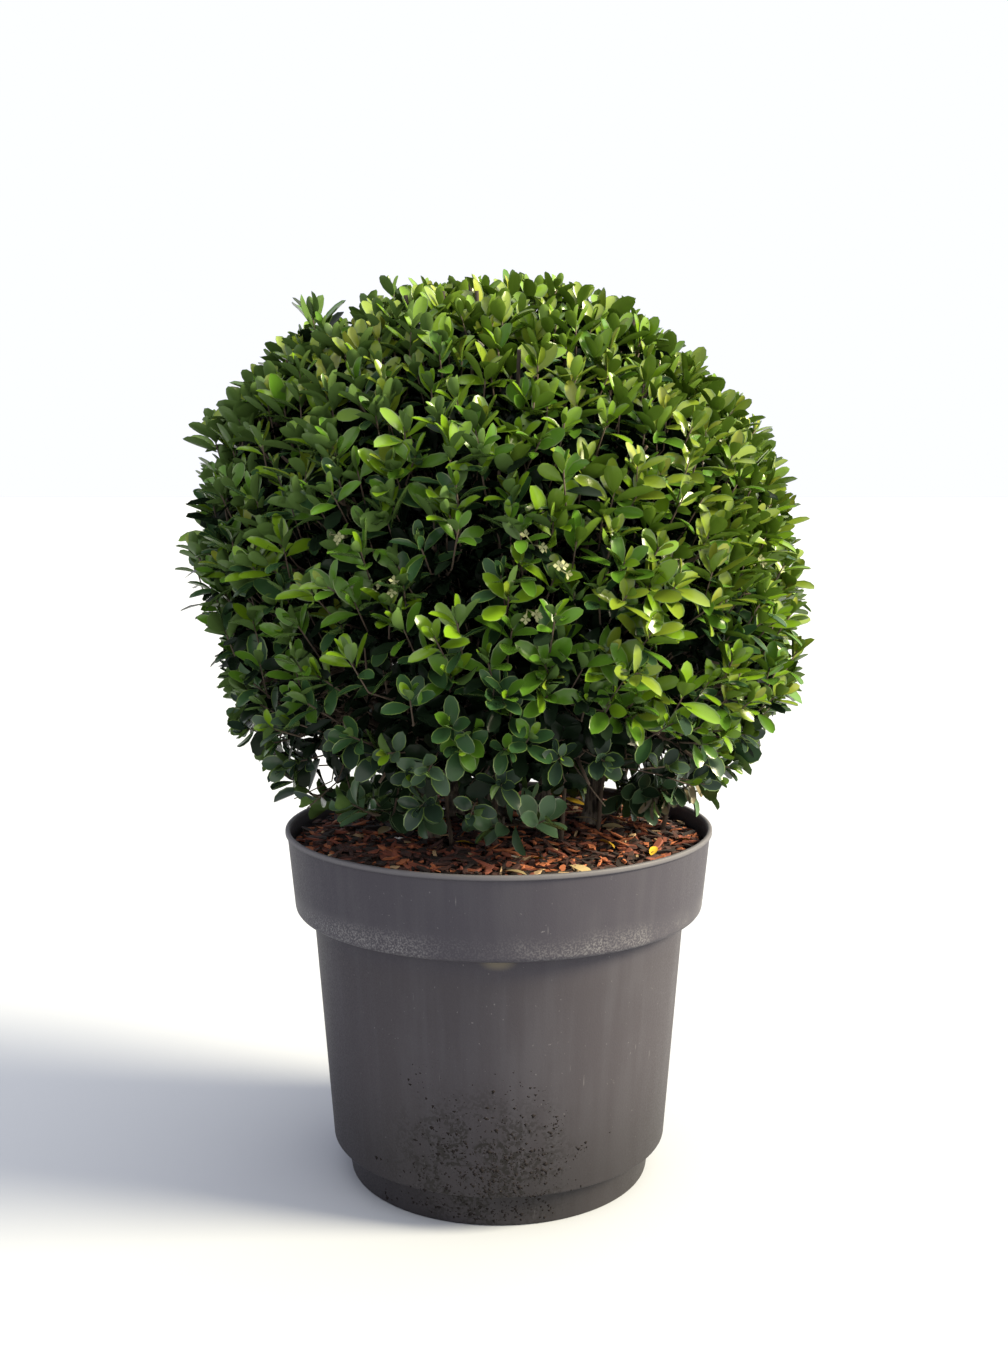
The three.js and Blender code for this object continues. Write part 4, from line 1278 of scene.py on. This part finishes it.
def shoot_paths(shoots, limbs, fork_share):
    """Paths of fine twigs: from the nearest limb, out to the shoot's base and on to its end."""
    outer = limbs[:, -BOUGH_OUTER_RINGS:].reshape(-1, 3)
    nearest = np.array([np.argmin(np.linalg.norm(outer - base, axis=1)) for base in shoots["base"]])
    limb = limbs[nearest // BOUGH_OUTER_RINGS]
    place = np.round(fork_share * (limbs.shape[1] - 1)).astype(int)
    start = limb[np.arange(len(limb)), place]
    axes = unit(shoots["end"] - shoots["base"])
    span = np.linalg.norm(shoots["base"] - start, axis=1)[:, None] * BOUGH_BEND
    towards = unit(shoots["base"] - start)
    arrive = shoots["base"] - unit(axes + towards * SHOOT_EASE) * span
    inner = bezier(start, start + towards * span, arrive, shoots["base"], SHOOT_RINGS - 1)
    return np.concatenate([inner, shoots["end"][:, None]], axis=1)


def underside_shoots(random):
    """Sparse shoots in the shade under the core, spread evenly over its level underside."""
    i = np.arange(UNDERSIDE_SHOOTS)
    radius = UNDERSIDE_RADIUS * np.sqrt((i + 0.5) / UNDERSIDE_SHOOTS)
    out = polar(1, i * GOLDEN_ANGLE, random.normal(0, UNDERSIDE_TILT, len(i)))
    end = out * radius[:, None]
    hanging = HANGING_DROP * beside(out, *HANGING_SIDE) * radius / UNDERSIDE_RADIUS
    end[:, 2] = CORE_FLOOR_Z + UNDERSIDE_SHOOT_RISE - hanging
    return new_shoots(end - unit(out) * SHOOT_LENGTH, end, 1, LOW_BAND_SIZE, LOW_LEAF_WIDTH_SHARE)


def shoot_tones(directions, random):
    """The tone of each shoot: lighter on the sunny side and on top, partly fresher growth and partly painted
    light, in patches, with some scatter.
    """
    sunny = smooth_share(directions @ heading(*SUNNY_SIDE), *SUNNY_COSINES)
    upper = smooth_share(directions[:, 2], *UPPER_SINES)
    # Partly painted light: lighter tones on the sunny side and on top
    value = TONE_LEAST + np.maximum(TONE_SUNNY_GAIN * sunny, TONE_UPPER_GAIN * upper)
    value += TONE_PATCH_GAIN * patches(directions, PATCH_WAVES)
    value -= LOW_BAND_SHADE * (1 - above_low_band(directions))
    # Fresh rosettes on the front, their lighter tone partly painted light
    value += swellings(directions, [(*spot, FRESH_SPOT_GAIN, FRESH_SPOT_SPREAD) for spot in FRESH_SPOTS])
    return 1 + np.digitize(value + random.normal(0, TONE_SCATTER, len(value)), TONE_STEPS)


def crown_layer(random, layer, outermost):
    """One layer of the crown's shoots, and its leaves with their tones."""
    count, least, greatest, leaf_count, darker = layer
    shoots = crown_shoots(random, count, outermost)
    leaves = spray_leaves(shoots, random, leaf_count, ROSETTE)
    depth = random.uniform(least, greatest, len(shoots["base"]))
    depth += LUMP_DEPTH * (1 - patches(shoots["direction"], LUMP_WAVES)) / 2
    proud = [*TUFTS, *((*spot, FRESH_SPOT_RISE, FRESH_SPOT_SPREAD) for spot in FRESH_SPOTS)]
    draw_back(shoots, leaves, depth - swellings(shoots["direction"], proud))
    # Deeper layers take darker tones: painted shade inside the crown
    shoot_tone = np.maximum(shoot_tones(shoots["direction"], random) - darker, INNER_SHADE_TONE)
    young = random.uniform(0, 1, len(shoot_tone)) < YOUNG_SHARE
    fresher = sum((leaves["number"] >= leaf_count - newest).astype(int) for newest in YOUNG_LEAVES)
    tones = shoot_tone[leaves["shoot"]] + fresher * (young[leaves["shoot"]] & outermost)
    leaves["tone"] = np.minimum(tones, TIP_TONE)
    if outermost:
        older = spray_leaves(shoots, random, OLD_LEAVES, OLD_SPRAY)
        older["tone"] = np.maximum(shoot_tone[older["shoot"]] - OLD_SHADE_DROP, INNER_SHADE_TONE)
        leaves = gathered([leaves, older])
    # Cooler tones low on the ball: painted shade
    low = 1 - above_low_band(shoots["direction"])
    cool = random.uniform(0, 1, len(low)) < COOL_SHARE * low
    leaves["tone"] += COOL_STEPS * (cool[leaves["shoot"]] & np.isin(leaves["tone"], COOL_FROM))
    leaves["outer"] = np.full(len(leaves["tone"]), outermost)
    return shoots, leaves


def crown_foliage(leaves):
    """The crown's leaves above its foot, by tone, with the undersides and edges of the outer ones."""
    tips = leaf_tips(leaves)
    leaves = picked(leaves, tips[:, 2] > crown_foot(tips))
    toned_pieces(leaves, TONES, CROWN_LEAF_KIND, {INNER_SHADE_TONE: INNER_LEAF_OUTLINE})
    seen = picked(leaves, leaves["outer"] & (leaves["tone"] != INNER_SHADE_TONE))
    # Undersides on the sunny side take a fresher tone: painted light that comes through the leaves
    sunny = unit(leaf_tips(seen) - CROWN_CENTRE) @ heading(*SUNNY_SIDE) > SUNNY_UNDERSIDE_COSINE
    underside_pieces("underside", picked(seen, ~sunny), UNDERSIDE_TONE, CROWN_LEAF_KIND)
    underside_pieces("sunny_underside", picked(seen, sunny), SUNNY_UNDERSIDE_TONE, CROWN_LEAF_KIND)
    margin_piece("margin", seen, MARGIN_HIGHLIGHT_TONE, CROWN_LEAF_KIND)


def blossom():
    """Small clusters of cream flowers on stalks, each flower with four petals."""
    random = np.random.default_rng(BLOSSOM_SEED)
    directions = spots(BLOSSOM_SPOTS, BLOSSOM_ELSEWHERE, BLOSSOM_ELEVATIONS)
    feet = on_crown(directions, -BLOSSOM_DEPTH - BLOSSOM_STALK)
    foot = np.repeat(feet, BLOSSOM_FLOWERS, axis=0)
    out = np.repeat(directions, BLOSSOM_FLOWERS, axis=0)
    axis = unit(out + random.normal(0, BLOSSOM_SCATTER, out.shape))
    head = foot + axis * BLOSSOM_STALK * random.uniform(*BLOSSOM_STALK_SIZES, (len(foot), 1))
    stalks = np.stack([foot, head], axis=1)
    meshes = [tubes(stalks, BLOSSOM_STALK_RADIUS, SHOOT_SIDES)]
    for turn in round_turns(BLOSSOM_PETALS):
        opens = random.normal(*BLOSSOM_PETAL_OPENS, len(axis))
        along = leaning(axis, opens, np.full(len(axis), turn))
        across = np.cross(axis, along) * BLOSSOM_PETAL_WIDTH / 2
        tip = head + along * BLOSSOM_PETAL_LENGTH
        middle = lerp(head, tip, BLOSSOM_PETAL_WIDEST_AT)
        petals = np.stack([head, middle - across, tip, middle + across], axis=1)
        meshes.append(repeated(petals, SQUARE_FACES))
    material = new_material("blossom", BLOSSOM_TONE, BLOSSOM_ROUGHNESS)
    make_piece("blossom", joined(meshes), material, *CROWN_LEAF_KIND)


def cut_ends():
    """The clipped twig ends, which stop just under the outline of the crown."""
    directions = spots(CUT_SPOTS, CUT_ELSEWHERE, CUT_ELEVATIONS)
    axes = unit(lerp(directions, UP, SHOOT_UPWARD_SHARE))
    ends = on_crown(directions, -CUT_DEPTH)
    paths = np.stack([ends - axes * CUT_LENGTH, ends], axis=1)
    mesh = tubes(paths, CUT_RADIUS, BOUGH_SIDES)
    make_piece("cut_ends", mesh, new_material("cut_end", CUT_TONE, CUT_ROUGHNESS), *CROWN_WOOD_KIND)


def crown(bark, twig_bark):
    """The clipped crown: leaders, boughs, twigs and leaves inside its outline, dealt into tones by shoot."""
    random = np.random.default_rng(CROWN_SEED)
    directions = even_directions(CROWN_SPRAYS)
    axes = unit(directions + UP * TWIG_UPWARD_PULL * (1 + directions[:, 2:]) / 2)
    leader_paths = leaders()
    limbs = boughs(leader_paths, directions, axes)
    twigs = np.stack([limbs[:, -1], limbs[:, -1] + axes * CROWN_TWIG_LENGTH], axis=1)
    groups = []
    paths = []
    for number, layer in enumerate(LAYERS):
        shoots, leaves = crown_layer(random, layer, number == 0)
        groups.append(leaves)
        paths.append(shoot_paths(shoots, limbs, random.uniform(*SHOOT_FORK_AT, len(shoots["base"]))))
    shoots = underside_shoots(random)
    leaves = spray_leaves(shoots, random, UNDERSIDE_LEAVES, UNDERSIDE_SPRAY)
    # The leaves under the core all take the first, darkest tone: painted shade
    leaves["tone"] = np.full(len(leaves["root"]), INNER_SHADE_TONE)
    leaves["outer"] = np.full(len(leaves["root"]), False)
    groups.append(leaves)
    paths.append(shoot_paths(shoots, limbs, np.full(UNDERSIDE_SHOOTS, SHOOT_FORK_AT[0])))
    crown_foliage(gathered(groups))
    blossom()
    cut_ends()
    fine = np.concatenate(paths)
    wood = joined([
        tubes(limbs, np.linspace(*BOUGH_RADII, BOUGH_RINGS), BOUGH_SIDES),
        tubes(twigs, MAIN_TWIG_RADII, BOUGH_SIDES),
        tubes(fine, np.linspace(*SHOOT_RADII, SHOOT_RINGS), SHOOT_SIDES),
    ])
    make_piece("crown_twigs", wood, twig_bark, *CROWN_WOOD_KIND)
    tip_radii = np.array([stem_radii(name, 2)[-1] for name in STEMS])[:, None]
    leader_radii = tip_radii * np.linspace(1, LEADER_TIP_SHARE, LEADER_RINGS)
    make_piece("crown_leaders", tubes(leader_paths, leader_radii, LEADER_SIDES), bark, *CROWN_WOOD_KIND)


def low_line(shape, count):
    """The shoot of a low spray: it springs from its stem and sags a little."""
    stem_name, azimuth, length, rise = shape[:4]
    span = CORE_FLOOR_Z - MULCH_TOP_Z - 2 * GAP
    place = int(round(LOW_SPRAY_ROOT_RISE / span * (STEM_RINGS - 1)))
    root = stem_line(stem_name, STEM_RINGS)[place]
    bark_at = stem_radii(stem_name, STEM_RINGS)[place]
    tip = root + heading(azimuth, 0) * (bark_at + length) + UP * rise
    return through(root, (root + tip) / 2 - UP * LOW_SPRAY_SAG, tip, count)


def in_low_space(shape, points):
    """Whether points lie inside a low spray's space: its sector over the mulch and the container's lip."""
    root = low_line(shape, 2)[0]
    level = (points - root)[:, :2]
    turn = np.degrees(np.arccos(np.clip(unit(level) @ heading(shape[1], 0)[:2], -1, 1)))
    radius = np.hypot(points[:, 0], points[:, 1])
    over_mulch = MULCH_TOP_Z + LOW_CLEAR_OF_MULCH
    floor = np.where(radius > MULCH_LEVEL_RADIUS, POT_HEIGHT + LOW_CLEAR_OF_LIP, over_mulch)
    return (turn < LOW_SPRAY_SECTOR) & (radius < LOW_EDGE_RADIUS) & (points[:, 2] > floor)


def basal_shoots():
    """Thin shoots that rise from the mulch into the crown."""
    random = np.random.default_rng(BASAL_SEED)
    feet = np.array(BASAL_FEET) * MM
    share = np.linspace(0, 1, BASAL_RINGS)[None, :, None]
    level = feet[:, None] * lerp(1, BASAL_SPREAD, share)
    level = level + random.normal(0, BASAL_WANDER, level.shape) * share
    rise = np.broadcast_to(lerp(MULCH_EDGE_Z, BASAL_TOP_Z, share), (*level.shape[:2], 1))
    paths = np.concatenate([level, rise], axis=2)
    return tubes(paths, np.linspace(*BASAL_RADII, BASAL_RINGS), BOUGH_SIDES)


def low_spray(name, shape):
    """One low spray: the meshes of its shoot and finer shoots, and its leaves inside its space."""
    azimuth = shape[1]
    seed, shoot_count = shape[4:]
    random = np.random.default_rng(seed)
    line = low_line(shape, LOW_SPRAY_RINGS)
    starts = []
    axes = []
    for k in range(LOW_TWIGS):
        share = lerp(*LOW_TWIG_AT, k / (LOW_TWIGS - 1))
        turn = 0 if k == LOW_TWIGS - 1 else (-1) ** k * LOW_TWIG_OPEN
        for _ in range(shoot_count):
            aside, lift = random.uniform(-LOW_SHOOT_FAN, LOW_SHOOT_FAN, 2)
            starts.append(line[int(round(share * (LOW_SPRAY_RINGS - 1)))])
            axes.append(heading(azimuth + turn + aside, LOW_TWIG_LIFT + lift))
    base = np.array(starts)
    end = base + np.array(axes) * random.uniform(*LOW_SHOOT_SIZES, (len(base), 1)) * LOW_SHOOT_LENGTH
    wood = [
        tubes(line[None], np.linspace(*LOW_SPRAY_RADII, LOW_SPRAY_RINGS), BOUGH_SIDES),
        tubes(np.stack([base, end], axis=1), SHOOT_RADII, SHOOT_SIDES),
    ]
    tone_shares = SPRAY_TONE_SHARES.get(name, LOW_TONE_SHARES)
    shoot_tone = random.choice(len(LOW_TONES), len(base), p=tone_shares)
    dry = shoot_tone == DRY_TONE
    leaf_size = np.where(dry, DRY_SIZE, 1)
    leaf_width = np.where(dry, DRY_WIDTH_SHARE, LOW_LEAF_WIDTH_SHARE)
    shoots = new_shoots(base, end, 1, leaf_size, leaf_width)
    leaves = spray_leaves(shoots, random, LOW_ROSETTE_LEAVES, LOW_ROSETTE)
    leaves["along"] = unit(leaves["along"] - UP * DRY_DROOP * dry[leaves["shoot"], None])
    leaves["upper"] = without(leaves["upper"], leaves["along"])
    leaves["tone"] = shoot_tone[leaves["shoot"]]
    return wood, picked(leaves, in_low_space(shape, leaf_tips(leaves)))


def low_sprays(twig_bark):
    """The low sprays round the foot of the crown, and the thin shoots that rise among them."""
    wood = []
    groups = []
    for name, shape in LOW_SPRAYS.items():
        spray_wood, spray = low_spray(name, shape)
        wood += spray_wood
        groups.append(spray)
    leaves = gathered(groups)
    toned_pieces(leaves, LOW_TONES, LOW_LEAF_KIND, {})
    underside_pieces("low_underside", leaves, UNDERSIDE_TONE, LOW_LEAF_KIND)
    margin_piece("low_margin", leaves, LOW_MARGIN_HIGHLIGHT_TONE, LOW_LEAF_KIND)
    make_piece("low_twigs", joined([*wood, basal_shoots()]), twig_bark, *LOW_WOOD_KIND)


def stage():
    """The floor, the surround, the lights and the camera."""
    scene = bpy.context.scene
    corners = np.array([(*corner, 0) for corner in SQUARE]) * FLOOR_HALF_SIZE
    material = new_material("floor", FLOOR_TONE, FLOOR_ROUGHNESS)
    floor = new_object("floor", (corners, SQUARE_FACES), material, smooth=False)
    for name, (azimuth, elevation, strength, tone, softness) in LIGHTS.items():
        light = bpy.data.lights.new(name, "SUN")
        light.energy = strength
        light.color = tone
        light.angle = math.radians(softness)
        lamp = bpy.data.objects.new(name, light)
        lamp.rotation_euler = (0, math.radians(90 - elevation), math.radians(azimuth))
        scene.collection.objects.link(lamp)
    camera = bpy.data.cameras.new("camera")
    camera.sensor_width = SENSOR
    camera.lens = SENSOR * FOCAL_PIXELS / PICTURE_HEIGHT
    eye = bpy.data.objects.new("camera", camera)
    eye.location = CAMERA_PLACE
    eye.rotation_euler = (math.radians(90 - CAMERA_PITCH), 0, 0)
    scene.collection.objects.link(eye)
    scene.camera = eye
    scene.view_settings.view_transform = "Standard"
    scene.world = bpy.data.worlds.new("surround")
    scene.world.use_nodes = True
    background = scene.world.node_tree.nodes["Background"].inputs
    background["Color"].default_value = (*SURROUND_TONE, 1)
    background["Strength"].default_value = SURROUND_STRENGTH


bark_skin = grainy_material("bark", BARK_FLECKS)
twig_skin = new_material("twig", TWIG_TONE, TWIG_ROUGHNESS)
pot()
soil_crumbs()
soil_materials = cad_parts["potting_soil"].data.materials
soil_materials.clear()
soil_materials.append(grainy_material("potting_soil"))
mulch()
fallen_leaves()
stems(bark_skin)
crown(bark_skin, twig_skin)
low_sprays(twig_skin)
stage()
